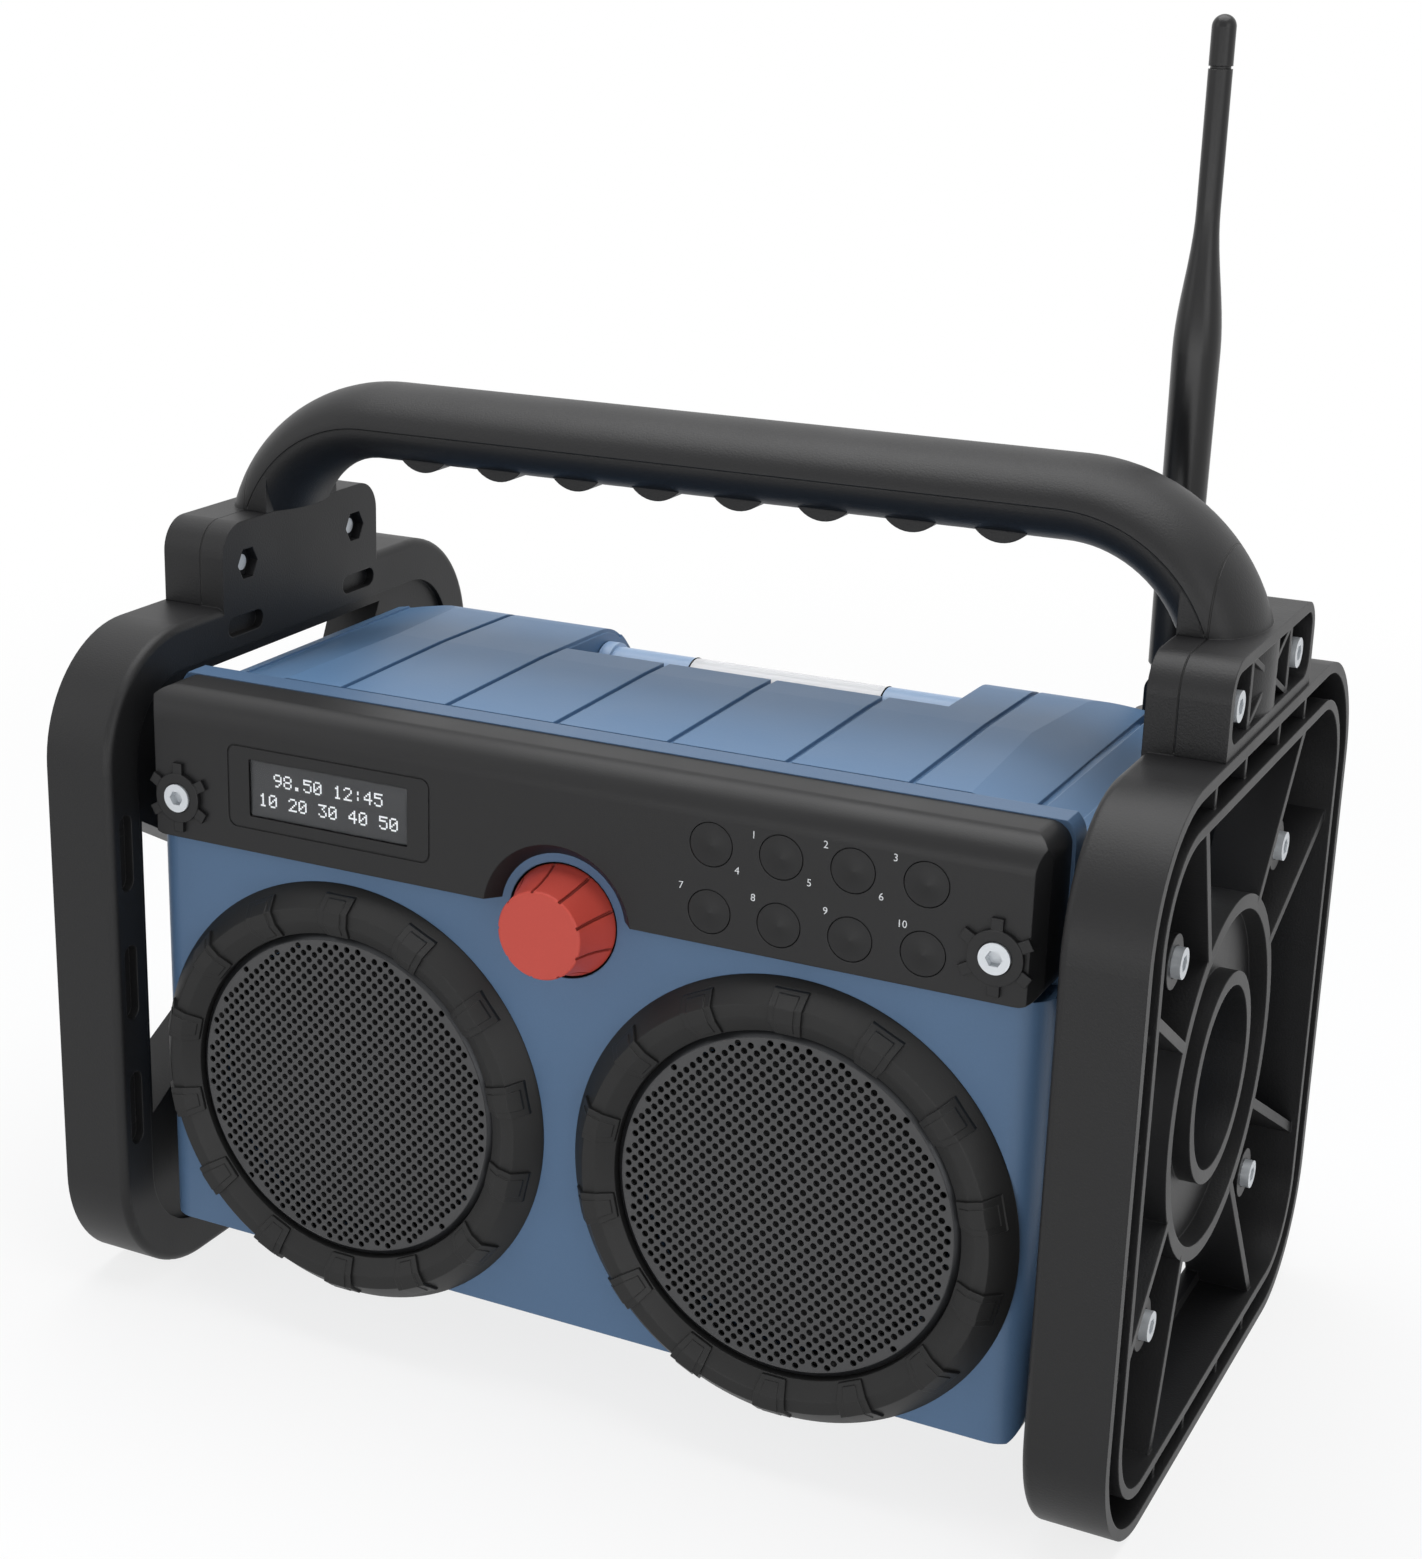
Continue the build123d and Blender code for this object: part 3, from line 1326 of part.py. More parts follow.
with BuildPart() as antenna_foot:
    foot_top_z = antenna_pin_z - 8.0
    rod_z([(antenna_x, antenna_y)], antenna_post_radius - 1, antenna_post_top_z + 0.2, foot_top_z)
    collar_z = antenna_post_bottom_z - 0.2
    rod_z([(antenna_x, antenna_y)], antenna_stem_radius, collar_z, antenna_post_top_z + 0.2)
    rod_z([(antenna_x, antenna_y)], antenna_stem_radius + 2, collar_z - 2, collar_z)
    for s in (-1, 1):
        y0, y1 = sorted((antenna_y + s * fork_inner, antenna_y + s * fork_outer))
        with BuildSketch(xz(y1)):
            with Locations((antenna_x, antenna_pin_z)):
                Circle(eye_radius)
            with Locations((antenna_x, (antenna_pin_z + foot_top_z) / 2)):
                Rectangle(2 * eye_radius, antenna_pin_z - foot_top_z)
        extrude(amount=y1 - y0)
    rod_y([(antenna_x, antenna_pin_z)], 1.6, 0, 100, mode=Mode.SUBTRACT)
save(antenna_foot, "antenna_foot")

with BuildPart() as antenna_pin:
    rod_y([(antenna_x, antenna_pin_z)], 1.6, antenna_y - fork_outer, antenna_y + fork_outer)
save(antenna_pin, "antenna_pin")

with BuildPart() as antenna_whip:
    with BuildSketch(whip):
        with BuildLine():
            Polyline(
                (0, 6.6), (antenna_foot_radius - 0.6, 6.6), (antenna_foot_radius, 7.4),
                (antenna_belly_radius, antenna_belly_height),
            )
            Spline(
                (antenna_belly_radius, antenna_belly_height),
                (antenna_tip_radius, antenna_neck_height),
                tangents=((0, 1), (0, 1)),
            )
            Polyline(
                (antenna_tip_radius, antenna_neck_height),
                (antenna_tip_radius, antenna_groove_height),
                (0, antenna_groove_height),
                (0, 6.6),
            )
        make_face()
    revolve(axis=Axis(whip.origin, whip.y_dir), revolution_arc=360)
    with BuildSketch(whip):
        Circle(eye_radius)
        with Locations((0, 4.5)):
            Rectangle(2 * eye_radius - 1, 9.0)
    extrude(amount=fork_inner - 0.15, both=True)
    rod_y([(antenna_x, antenna_pin_z)], 1.6 + running_gap, 0, 100, mode=Mode.SUBTRACT)
save(antenna_whip, "antenna_whip")

with BuildPart() as antenna_tip:
    with BuildSketch(whip):
        with BuildLine():
            Polyline(
                (0, antenna_groove_height),
                (antenna_tip_radius - 0.5, antenna_groove_height),
                (antenna_tip_radius - 0.5, antenna_groove_height + 0.8),
                (antenna_tip_radius, antenna_groove_height + 0.8),
                (antenna_tip_radius, antenna_length - antenna_tip_radius),
            )
            CenterArc((0, antenna_length - antenna_tip_radius), antenna_tip_radius, 0, 90)
            Line((0, antenna_length), (0, antenna_groove_height))
        make_face()
    revolve(axis=Axis(whip.origin, whip.y_dir), revolution_arc=360)
save(antenna_tip, "antenna_tip")

# %% [markdown]
# ## Lamp
#
# A tube that turns between the cheeks on two journals, with a clear window along its top
# and a strip of light-emitting diodes inside.

# %%
lamp_left_x = recess_left_x + 0.4
lamp_right_x = recess_right_x - 0.4


wedge_half = radians(lamp_window_half_angle)
wedge_reach = 30.0
window_wedge = [
    (lamp_y, lamp_z),
    (lamp_y + wedge_reach * sin(wedge_half), lamp_z + wedge_reach * cos(wedge_half)),
    (lamp_y - wedge_reach * sin(wedge_half), lamp_z + wedge_reach * cos(wedge_half)),
]

with BuildPart() as lamp_tube:
    rod_x([(lamp_y, lamp_z)], lamp_radius, lamp_left_x, lamp_right_x)
    rod_x([(lamp_y, lamp_z)], lamp_radius + 1.2, lamp_left_x, lamp_left_x + 4)
    rod_x([(lamp_y, lamp_z)], lamp_radius + 1.2, lamp_right_x - 4, lamp_right_x)
    rod_x([(lamp_y, lamp_z)], journal_radius, recess_left_x - 2.8, recess_right_x + 2.8)
    rod_x([(lamp_y, lamp_z)], lamp_radius - lamp_wall, lamp_left_x + 6, lamp_right_x - 6,
          mode=Mode.SUBTRACT)
    with BuildSketch(yz(lamp_window_left_x)):
        Polygon(*window_wedge, align=None)
    extrude(amount=lamp_window_right_x - lamp_window_left_x, mode=Mode.SUBTRACT)
save(lamp_tube, "lamp_tube")

with BuildPart() as lamp_window:
    rod_x([(lamp_y, lamp_z)], lamp_radius, lamp_window_left_x, lamp_window_right_x)
    rod_x([(lamp_y, lamp_z)], lamp_radius - lamp_wall, lamp_window_left_x - 1,
          lamp_window_right_x + 1, mode=Mode.SUBTRACT)
    with BuildSketch(yz(lamp_window_left_x)):
        Polygon(*window_wedge, align=None)
    extrude(amount=lamp_window_right_x - lamp_window_left_x, mode=Mode.INTERSECT)
save(lamp_window, "lamp_window")

with BuildPart() as lamp_strip:
    strip_half = 4.0
    strip_z = lamp_z - sqrt((lamp_radius - lamp_wall) ** 2 - strip_half**2)
    block(
        (lamp_window_left_x, lamp_y - strip_half, strip_z),
        (lamp_window_right_x, lamp_y + strip_half, strip_z + 1.2),
    )
    for i in range(6):
        x = lamp_window_left_x + (i + 0.5) * (lamp_window_right_x - lamp_window_left_x) / 6
        block((x - 1.8, lamp_y - 1.8, strip_z + 1.2), (x + 1.8, lamp_y + 1.8, strip_z + 2.2))
save(lamp_strip, "lamp_strip")

# %% [markdown]
# ## Battery compartment
#
# A tray with six round cells behind a door that swings down on a hinge pin.

# %%
tray_wall = 2.0
tray_front_y = cell_y - cell_radius - 0.3 - tray_wall
tray_rear_y = cabinet_rear_y - cabinet_wall
tray_half_width = cell_length + 0.5 + tray_wall
tray_bottom_z = cell_rows[0] - cell_radius - 0.3 - tray_wall
tray_top_z = cell_rows[-1] + cell_radius + 0.3 + tray_wall
tray_flange = 4.5

with BuildPart() as battery_tray:
    block(
        (-tray_half_width, tray_front_y, tray_bottom_z),
        (tray_half_width, tray_rear_y, tray_top_z),
    )
    block(
        (-door_half_width - tray_flange, tray_rear_y - tray_wall, door_bottom_z - tray_flange),
        (door_half_width + tray_flange, tray_rear_y, door_top_z + tray_flange),
    )
    block(
        (tray_wall - tray_half_width, tray_front_y + tray_wall, tray_bottom_z + tray_wall),
        (tray_half_width - tray_wall, 200, tray_top_z - tray_wall),
        mode=Mode.SUBTRACT,
    )
save(battery_tray, "battery_tray")

with BuildPart() as battery_cells:
    for z in cell_rows:
        for s in (-1, 1):
            low_x, high_x = sorted((s * 0.2, s * (cell_length - 2.0)))
            rod_x([(cell_y, z)], cell_radius, low_x, high_x)
            tip_x, end_x = sorted((s * (cell_length - 2.0), s * cell_length))
            rod_x([(cell_y, z)], 4.8, tip_x, end_x)
save(battery_cells, "battery_cells")

with BuildPart() as battery_door:
    plate_y(door_mid, door_size[0], door_size[1], 4.0,
            cabinet_rear_y - door_thickness, cabinet_rear_y)
    knuckle_gap = 0.3
    knuckle_places = [(-hinge_lug_x, 0), (0, hinge_lug_x)]
    half_lug = hinge_lug_length / 2
    for left_x, right_x in knuckle_places:
        with BuildSketch(yz(left_x + half_lug + knuckle_gap)):
            with Locations((door_hinge_y, door_hinge_z)):
                Circle(door_knuckle_radius)
            with BuildLine():
                Polyline(
                    (door_hinge_y - door_knuckle_radius, door_hinge_z),
                    (door_hinge_y + door_knuckle_radius, door_hinge_z),
                    (cabinet_rear_y + 1.5, door_bottom_z + 8.0),
                    (cabinet_rear_y - 1.0, door_bottom_z + 8.0),
                    (cabinet_rear_y - 1.0, door_bottom_z + 1.0),
                    (cabinet_rear_y + 0.4, door_bottom_z + 1.0),
                    close=True,
                )
            make_face()
        extrude(amount=right_x - left_x - hinge_lug_length - 2 * knuckle_gap)
    rod_x([(door_hinge_y, door_hinge_z)], door_pin_radius + running_gap, -60, 60,
          mode=Mode.SUBTRACT)
    # finger recess at the top
    with BuildSketch(xz(cabinet_rear_y)) as grasp:
        with Locations((0, door_top_z - 12)):
            SlotOverall(40.0, 12.0)
    extrude(grasp.sketch, amount=1.4, mode=Mode.SUBTRACT)
save(battery_door, "battery_door")

with BuildPart() as door_hinge_pin:
    rod_x([(door_hinge_y, door_hinge_z)], door_pin_radius,
          -hinge_lug_x - half_lug, hinge_lug_x + half_lug)
save(door_hinge_pin, "door_hinge_pin")

# %% [markdown]
# ## Sockets
#
# A power socket and a line-in socket in one block, behind a rubber flap.

# %%
dc_place = (flap_mid[0] - 6.0, flap_mid[1])
aux_place = (flap_mid[0] + 6.5, flap_mid[1])
niche_y = cabinet_rear_y - niche_depth
socket_depth = 10.0

with BuildPart() as socket_block:
    plate_y(flap_mid, socket_opening[0] - 0.2, socket_opening[1] - 0.2, 0.9,
            niche_y - niche_wall, niche_y)
    plate_y(flap_mid, socket_opening[0] + 4, socket_opening[1] + 4, 1.0,
            niche_y - 16.0, niche_y - niche_wall)
    rod_y([dc_place], dc_socket_radius, niche_y - socket_depth, niche_y + 1, mode=Mode.SUBTRACT)
    rod_y([aux_place], aux_socket_radius, niche_y - socket_depth - 4, niche_y + 1,
          mode=Mode.SUBTRACT)
    rod_y([dc_place], dc_pin_radius, niche_y - socket_depth, niche_y - 1.0)
save(socket_block, "socket_block")

with BuildPart() as socket_flap:
    plate_y(flap_mid, flap_size[0], flap_size[1], 2.7, cabinet_rear_y - flap_thickness + 0.2,
            cabinet_rear_y + 0.2)
    with BuildSketch(xz(cabinet_rear_y + 1.6)) as lip:
        with Locations((flap_mid[0], flap_top_z - 3.5)):
            SlotOverall(16.0, 4.0)
    extrude(lip.sketch, amount=1.6)
save(socket_flap, "socket_flap")

# %% [markdown]
# ## Electronics
#
# The main board hangs on four pillars under the shelf of the lamp.

# %%
with BuildPart() as main_board:
    block((-50, 8, board_top_z - 1.6), (66, 68, board_top_z))
    block((-36, 24, board_top_z), (-16, 44, board_top_z + 2))
    block((8, 14, board_top_z), (24, 30, board_top_z + 3))
    block((34, 20, board_top_z), (52, 44, board_top_z + 9))
    rod_z([(-6, 20), (-6, 36)], 4.5, board_top_z, board_top_z + 9)
    block((-30, 30, 150), (-14, 50, board_top_z - 1.6))
save(main_board, "main_board")
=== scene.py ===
# %% [markdown]
# # Jobsite radio
#
# A splash-proof radio for building sites: a blue plastic cabinet hung between two black
# roll-cage frames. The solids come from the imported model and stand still, in metres.
# This lesson gives them their finishes, and rebuilds the pieces whose detail is too
# fine for the solids: speaker surrounds, perforated grilles, display and prints.

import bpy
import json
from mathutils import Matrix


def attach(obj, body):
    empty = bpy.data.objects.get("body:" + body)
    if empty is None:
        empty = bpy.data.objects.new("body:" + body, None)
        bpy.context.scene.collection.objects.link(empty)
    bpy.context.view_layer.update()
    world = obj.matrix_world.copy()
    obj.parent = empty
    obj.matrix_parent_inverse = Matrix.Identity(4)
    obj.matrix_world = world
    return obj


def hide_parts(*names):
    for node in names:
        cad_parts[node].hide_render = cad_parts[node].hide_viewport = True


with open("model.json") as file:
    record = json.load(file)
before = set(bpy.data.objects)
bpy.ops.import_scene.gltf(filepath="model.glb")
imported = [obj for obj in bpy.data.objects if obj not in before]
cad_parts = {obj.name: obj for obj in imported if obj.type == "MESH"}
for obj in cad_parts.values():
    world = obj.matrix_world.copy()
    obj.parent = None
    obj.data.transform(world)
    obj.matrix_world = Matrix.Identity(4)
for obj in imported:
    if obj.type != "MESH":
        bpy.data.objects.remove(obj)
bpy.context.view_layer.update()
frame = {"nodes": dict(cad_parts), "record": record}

# %% Units and slots
import json
from math import cos, pi, radians, sin

import bmesh
import bpy
from mathutils import Matrix, Vector

mm = 0.001
slot_of_node = {row["node"]: row["material_slot"] for row in frame["record"]["subparts"]}
print(len(slot_of_node), "solids in", len(set(slot_of_node.values())), "slots")

# %% [markdown]
# ## Camera
#
# A product picture is taken from a little above and from the right, with a long lens so
# that upright edges stay nearly parallel. The camera's axes are worked out from its
# azimuth, elevation and a slight roll. A shift puts the view's middle beside the lens
# axis, as cropping a wider picture would.

# %% Camera
picture_width = 1422
picture_height = 1559
camera_azimuth = radians(28.608)
camera_elevation = radians(17.971)
camera_roll = radians(0.588)
sensor_width = 36.0
focal_pixels = 2649.5
lens_axis_column = 540.0
camera_place = Vector((320.554, -691.655, 412.498)) * mm


def camera_axes(azimuth, elevation, roll):
    """The camera's right, up and backward directions as the columns of a matrix."""
    back = Vector((sin(azimuth) * cos(elevation), -cos(azimuth) * cos(elevation), sin(elevation)))
    level = Vector((cos(azimuth), sin(azimuth), 0.0))
    upright = back.cross(level)
    right = level * cos(roll) + upright * sin(roll)
    up = upright * cos(roll) - level * sin(roll)
    return Matrix((right, up, back)).transposed()


def placed(name, data):
    """A new object in the scene that shows this data."""
    made = bpy.data.objects.new(name, data)
    bpy.context.collection.objects.link(made)
    return made


camera_data = bpy.data.cameras.new("camera")
camera = placed("camera", camera_data)
camera.rotation_mode = "QUATERNION"
camera.rotation_quaternion = camera_axes(
    camera_azimuth, camera_elevation, camera_roll
).to_quaternion()
camera.location = camera_place
camera_data.sensor_width = sensor_width
camera_data.lens = sensor_width * focal_pixels / picture_height
camera_data.shift_x = (picture_width / 2 - lens_axis_column) / picture_height
camera_data.clip_start = 0.05
camera_data.clip_end = 50.0
bpy.context.scene.camera = camera
print("lens", round(camera_data.lens, 1), "mm, shift", round(camera_data.shift_x, 3))

# %% [markdown]
# ## Shader expressions
#
# A finish is a small sum: a base colour, plus a mottle, times a mask. Wired by hand in
# the shader editor that is a dozen Math nodes. Here a class stands for one socket, and
# Python's own operators add the nodes, so the sum reads as a sum.


# %% Sockets and finishes
class Signal:
    """One output socket of a finish. Arithmetic on it adds Math nodes."""

    def __init__(self, finish, socket):
        self.finish = finish
        self.socket = socket

    def math(self, operation, *values):
        return self.finish.node("ShaderNodeMath", {"operation": operation}, dict(enumerate(values)))

    def __add__(self, other):
        return self.math("ADD", self, other)

    def __sub__(self, other):
        return self.math("SUBTRACT", self, other)

    def __rsub__(self, other):
        return self.math("SUBTRACT", other, self)

    def __mul__(self, other):
        return self.math("MULTIPLY", self, other)

    def __truediv__(self, other):
        return self.math("DIVIDE", self, other)

    __radd__ = __add__
    __rmul__ = __mul__

    def above(self, level, softness):
        """0 below the level, 1 above it, with a soft step between."""
        return self.finish.node(
            "ShaderNodeMapRange",
            {"interpolation_type": "SMOOTHSTEP"},
            {"Value": self, "From Min": level - softness, "From Max": level + softness},
        )

    def limited(self, low, high):
        return self.math("MINIMUM", self.math("MAXIMUM", self, low), high)


class Wiring:
    """A node tree, with one method that adds any node."""

    def node(self, kind, settings=None, values=None, result=0):
        """Adds a node: its settings first, then the values or links of its sockets."""
        made = self.tree.nodes.new(kind)
        for name, setting in (settings or {}).items():
            setattr(made, name, setting)
        for name, value in (values or {}).items():
            self.feed(made.inputs[name], value)
        return Signal(self, made.outputs[result])

    def feed(self, socket, value):
        if isinstance(value, Signal):
            self.tree.links.new(value.socket, socket)
        else:
            socket.default_value = value


class Finish(Wiring):
    """The node tree of one material, with its shader ready."""

    def __init__(self, name):
        self.material = bpy.data.materials.new(name)
        self.material.use_nodes = True
        self.tree = self.material.node_tree
        self.tree.nodes.clear()
        self.shader = self.tree.nodes.new("ShaderNodeBsdfPrincipled")
        self.output = self.tree.nodes.new("ShaderNodeOutputMaterial")
        self.tree.links.new(self.shader.outputs["BSDF"], self.output.inputs["Surface"])

    def set(self, **values):
        """Sets or links the shader's own sockets, named with _ for a space."""
        for name, value in values.items():
            self.feed(self.shader.inputs[name.replace("_", " ")], value)

    def place(self):
        """The point on the surface, in metres, in the piece's own coordinates."""
        return self.node("ShaderNodeTexCoord", result="Object")

    def along(self, axis):
        """That point's coordinate along X, Y or Z."""
        return self.node("ShaderNodeSeparateXYZ", None, {"Vector": self.place()}, axis)

    def noise(self, size, detail=2.0, roughness=0.5):
        """Cloudy noise whose lumps are about this many metres across."""
        return self.node(
            "ShaderNodeTexNoise",
            None,
            {"Vector": self.place(), "Scale": 1.0 / size, "Detail": detail, "Roughness": roughness},
        )

    def blend(self, factor, low, high):
        """A colour between two colours."""
        return self.node(
            "ShaderNodeMix", {"data_type": "RGBA"}, {0: factor, 6: low, 7: high}, result=2
        )

    def bump(self, height, depth, under=None):
        """A surface raised by height (0 to 1) times depth in metres."""
        values = {"Height": height, "Distance": depth, "Strength": 1.0}
        if under is not None:
            values["Normal"] = under
        return self.node("ShaderNodeBump", None, values)


def colour(red, green, blue):
    """A display colour, 0 to 255, as the linear colour that shaders use."""
    linear = []
    for level in (red, green, blue):
        share = level / 255
        linear.append(share / 12.92 if share <= 0.04045 else ((share + 0.055) / 1.055) ** 2.4)
    return (*linear, 1.0)


def shade(base, factor):
    """A linear colour made lighter or darker."""
    return (*[min(1.0, channel * factor) for channel in base[:3]], 1.0)


finishes = {}
print("one class for sockets, one for finishes")

# %% [markdown]
# ## Moulded plastic
#
# Injection-moulded housings take their grain from the steel mould, which is eroded by
# sparks to a fine satin. Under a lamp that shows as sparkle-free, slightly uneven gloss:
# grains of half a millimetre that only tilt the surface, and larger soft patches where
# the plastic was touched and wiped. Sharp edges polish first and look a little lighter;
# that lighter edge is partly wear and partly a painted highlight, strongest on the rubber.
#
# Where two mouldings meet, a fine dark line shows; along the floor of each flute on the
# knob a dark line is painted shade. Each follows the shape's own rule (a plane, a bend,
# nine equal turns), so it is a distance worked out from the place on the surface, and
# needs no cut in the mesh.


# %% Moulded finishes
def moulded(
    name, base, gloss, grain=0.0006, depth=0.00003, mottle=0.05, edge=0.2, shine=0.3, line=None,
    round_edge=0.0005,
):
    """Moulded plastic of one colour: fine grain, soft patches, lighter edges that are partly wear
    and partly painted highlight.

    A line is a function from 0 to 1 that marks joints between mouldings and painted shade in
    grooves.
    """
    finish = Finish(name)
    rounded = finish.node("ShaderNodeBevel", {"samples": 4}, {"Radius": round_edge})
    flat = finish.node("ShaderNodeNewGeometry", result="Normal")
    facing = finish.node(
        "ShaderNodeVectorMath", {"operation": "DOT_PRODUCT"}, {0: rounded, 1: flat}, "Value"
    )
    # Lighter edges: partly wear, partly a painted highlight.
    worn_and_highlit_edge = (1.0 - facing).above(0.12, 0.1)
    patches = finish.noise(0.03, 3.0)
    fine = finish.noise(grain, 1.0)
    tone = finish.blend(patches, shade(base, 1.0 - mottle), shade(base, 1.0 + mottle))
    tone = finish.blend(fine * 0.5, tone, shade(base, 1.0 - 2.0 * mottle))
    tone = finish.blend(worn_and_highlit_edge * edge, tone, shade(base, 2.2))
    surface = finish.bump(fine, depth, rounded)
    if line:
        # For the knob this is painted shade on the flute floors; for the brackets and handle it is
        # the dark joint.
        joint_and_shade = line(finish)
        tone = finish.blend(joint_and_shade, tone, shade(base, 0.25))
        surface = finish.bump(1.0 - joint_and_shade, 0.0004, surface)
    finish.set(
        Base_Color=tone,
        Roughness=gloss + (patches - 0.5) * 0.14 - worn_and_highlit_edge * 0.08,
        Normal=surface,
        Specular_IOR_Level=shine,
    )
    finishes[name] = finish.material
    return finish


def stripe(distance, half_width):
    """1 within half_width of where the distance is 0, with a soft edge."""
    return 1.0 - distance.math("ABSOLUTE", distance).above(half_width, 0.4 * half_width)


seam_half_width = 0.22 * mm
bracket_seam_x = 152.4 * mm
bracket_seam_foot = 210.8 * mm
bend_centre_x = 109.0 * mm
bend_centre_z = 219.6 * mm
bend_reach = 45.5 * mm
bend_seam_foot = 236.5 * mm
knob_z = 150.7
knob_face_edge_y = -103.9 * mm
first_flute = radians(20)
flute_step = radians(40)
flute_half_width = 0.38 * mm


def bracket_line(finish):
    """The upright joint in each bracket, between its frame half and its handle half."""
    across = finish.along("X")
    beside = across.math("ABSOLUTE", across)
    seam = stripe(beside - bracket_seam_x, seam_half_width)
    return seam * finish.along("Z").above(bracket_seam_foot, 0.2 * mm)


def handle_line(finish):
    """The joint that runs along the middle of the handle, round both bends."""
    across = finish.along("X")
    up = finish.along("Z")
    beside = across.math("ABSOLUTE", across)
    out = across.math("MAXIMUM", beside - bend_centre_x, 0.0)
    over = across.math("MAXIMUM", up - bend_centre_z, 0.0)
    away = across.math("SQRT", out * out + over * over)
    bend = stripe(away - bend_reach, seam_half_width) * up.above(bend_seam_foot, 0.3 * mm)
    return (bend + bracket_line(finish)).limited(0.0, 1.0)


def flute_lines(finish):
    """Painted shade on the floors of the nine narrow flutes around the knob, not on its face."""
    across = finish.along("X")
    up = finish.along("Z") - knob_z * mm
    turns = (across.math("ARCTAN2", up, across) - first_flute) / flute_step + 0.5
    beside = (turns - across.math("FLOOR", turns) - 0.5) * flute_step
    away = across.math("SQRT", across * across + up * up)
    behind_face = finish.along("Y").above(knob_face_edge_y, 0.1 * mm)
    return stripe(beside * away, flute_half_width) * behind_face * 0.7


moulded("cabinet_blue", colour(77, 103, 133), 0.42)
# The deck's blue is the cabinet's blue made lighter: painted light on the top surface.
moulded("deck_blue", colour(85, 117, 152), 0.42)
moulded("panel_black", colour(23, 23, 24), 0.42, grain=0.0004)
moulded("frame_black", colour(23, 23, 24), 0.46, depth=0.00005, line=bracket_line)
moulded("handle_black", colour(24, 24, 25), 0.46, depth=0.00006, line=handle_line)
# The surround's stronger lighter edges are a painted highlight along its lugs and crest.
moulded("ring_rubber", colour(22, 22, 22), 0.5, grain=0.0004, edge=0.45, round_edge=0.0003)
moulded("button_black", colour(18, 18, 19), 0.48, grain=0.0004, depth=0.00001)
moulded("bushing_black", colour(21, 21, 22), 0.4)
moulded("foam_black", colour(9, 9, 9), 0.8, grain=0.0008, depth=0.0001, edge=0.0, shine=0.1)
moulded("print_white", colour(214, 216, 218), 0.5, edge=0.0)
lit_figure = moulded("figure_white", colour(246, 248, 250), 0.5, edge=0.0, mottle=0.02)
lit_figure.set(Emission_Color=colour(236, 240, 244), Emission_Strength=0.35)
moulded("display_grey", colour(66, 67, 69), 0.35, depth=0.0, edge=0.0, mottle=0.03)
moulded("antenna_black", colour(16, 16, 17), 0.3, depth=0.00001, mottle=0.03, shine=0.35)
# The knob's flutes get painted shade along their floors.
moulded("knob_red", colour(182, 68, 57), 0.45, depth=0.00002, line=flute_lines)
moulded("inner_plastic", colour(38, 39, 41), 0.5)
moulded("lamp_blue", colour(146, 174, 208), 0.3, shine=0.5)
print(len(finishes), "moulded finishes")

# %% [markdown]
# ## Metals, card, glass and the rest
#
# The screws are plated steel, the grilles and speaker baskets painted sheet. Their gloss
# is never quite even, so fine noise changes it and tilts the surface, and wide noise
# stains the colour. The display's window is clear and smooth, the lamp's is frosted. Both
# are made with Alpha and not with refraction, because Alpha can be baked.

# %% Metal, paper, board and glass
def metal(name, base, gloss, metallic):
    """Metal with fine marks and faint stains."""
    finish = Finish(name)
    marks = finish.noise(0.0008, 3.0, 0.6)
    stains = finish.noise(0.012, 2.0)
    finish.set(
        Base_Color=finish.blend(stains, shade(base, 0.93), base),
        Metallic=metallic,
        Roughness=gloss + (marks - 0.5) * 0.1,
        Normal=finish.bump(marks, 0.000004),
    )
    finishes[name] = finish.material


metal("steel", colour(200, 204, 208), 0.4, metallic=0.5)
metal("basket_steel", colour(52, 53, 55), 0.4, metallic=0.7)
metal("grille_grey", colour(66, 66, 67), 0.42, metallic=0.4)
metal("magnet_ferrite", colour(60, 59, 58), 0.6, metallic=0.2)
moulded("cone_paper", colour(30, 30, 31), 0.75, grain=0.0012, depth=0.0001)
moulded("board_green", colour(28, 74, 48), 0.35, edge=0.0)
moulded("cell_jacket", colour(176, 150, 82), 0.3, edge=0.0)
moulded("display_dark", colour(72, 73, 75), 0.3, depth=0.0, edge=0.0)
moulded("strip_white", colour(232, 233, 230), 0.4, edge=0.0)

lens = Finish("display_clear")
lens.set(
    Base_Color=(0.02, 0.02, 0.02, 1.0),
    Roughness=lens.noise(0.01) * 0.04 + 0.03,
    Alpha=0.05,
    IOR=1.45,
)
finishes["display_clear"] = lens.material

tube = Finish("lamp_clear")
tube.set(
    Base_Color=colour(250, 250, 252),
    Roughness=tube.noise(0.004) * 0.1 + 0.12,
    Alpha=0.75,
    IOR=1.49,
)
finishes["lamp_clear"] = tube.material
print(len(finishes), "finishes")

# %% Finishes of the solids
finish_of_node = dict(slot_of_node)
finish_of_node["lamp_strip"] = "strip_white"
finish_of_node["handle_nuts"] = "basket_steel"
for name, solid in frame["nodes"].items():
    finish = finishes[finish_of_node[name]]
    solid.data.materials.clear()
    solid.data.materials.append(finish)
print(len(slot_of_node), "solids have a finish")

# %% [markdown]
# ## Handing a piece over
#
# A solid from the model lies in its own place, with its object at the origin. A piece
# made here does the same: its points are in the radio's own frame. Doubles are merged and
# faces turned outwards, smooth faces keep their sharp edges, and then the piece rides on
# the body that carries it.


# %% A piece from a mesh
def closed(mesh):
    """Merges the doubles of a mesh and turns its faces outwards."""
    form = bmesh.new()
    form.from_mesh(mesh)
    bmesh.ops.remove_doubles(form, verts=form.verts, dist=1e-7)
    bmesh.ops.recalc_face_normals(form, faces=form.faces)
    form.to_mesh(mesh)
    form.free()
    return mesh


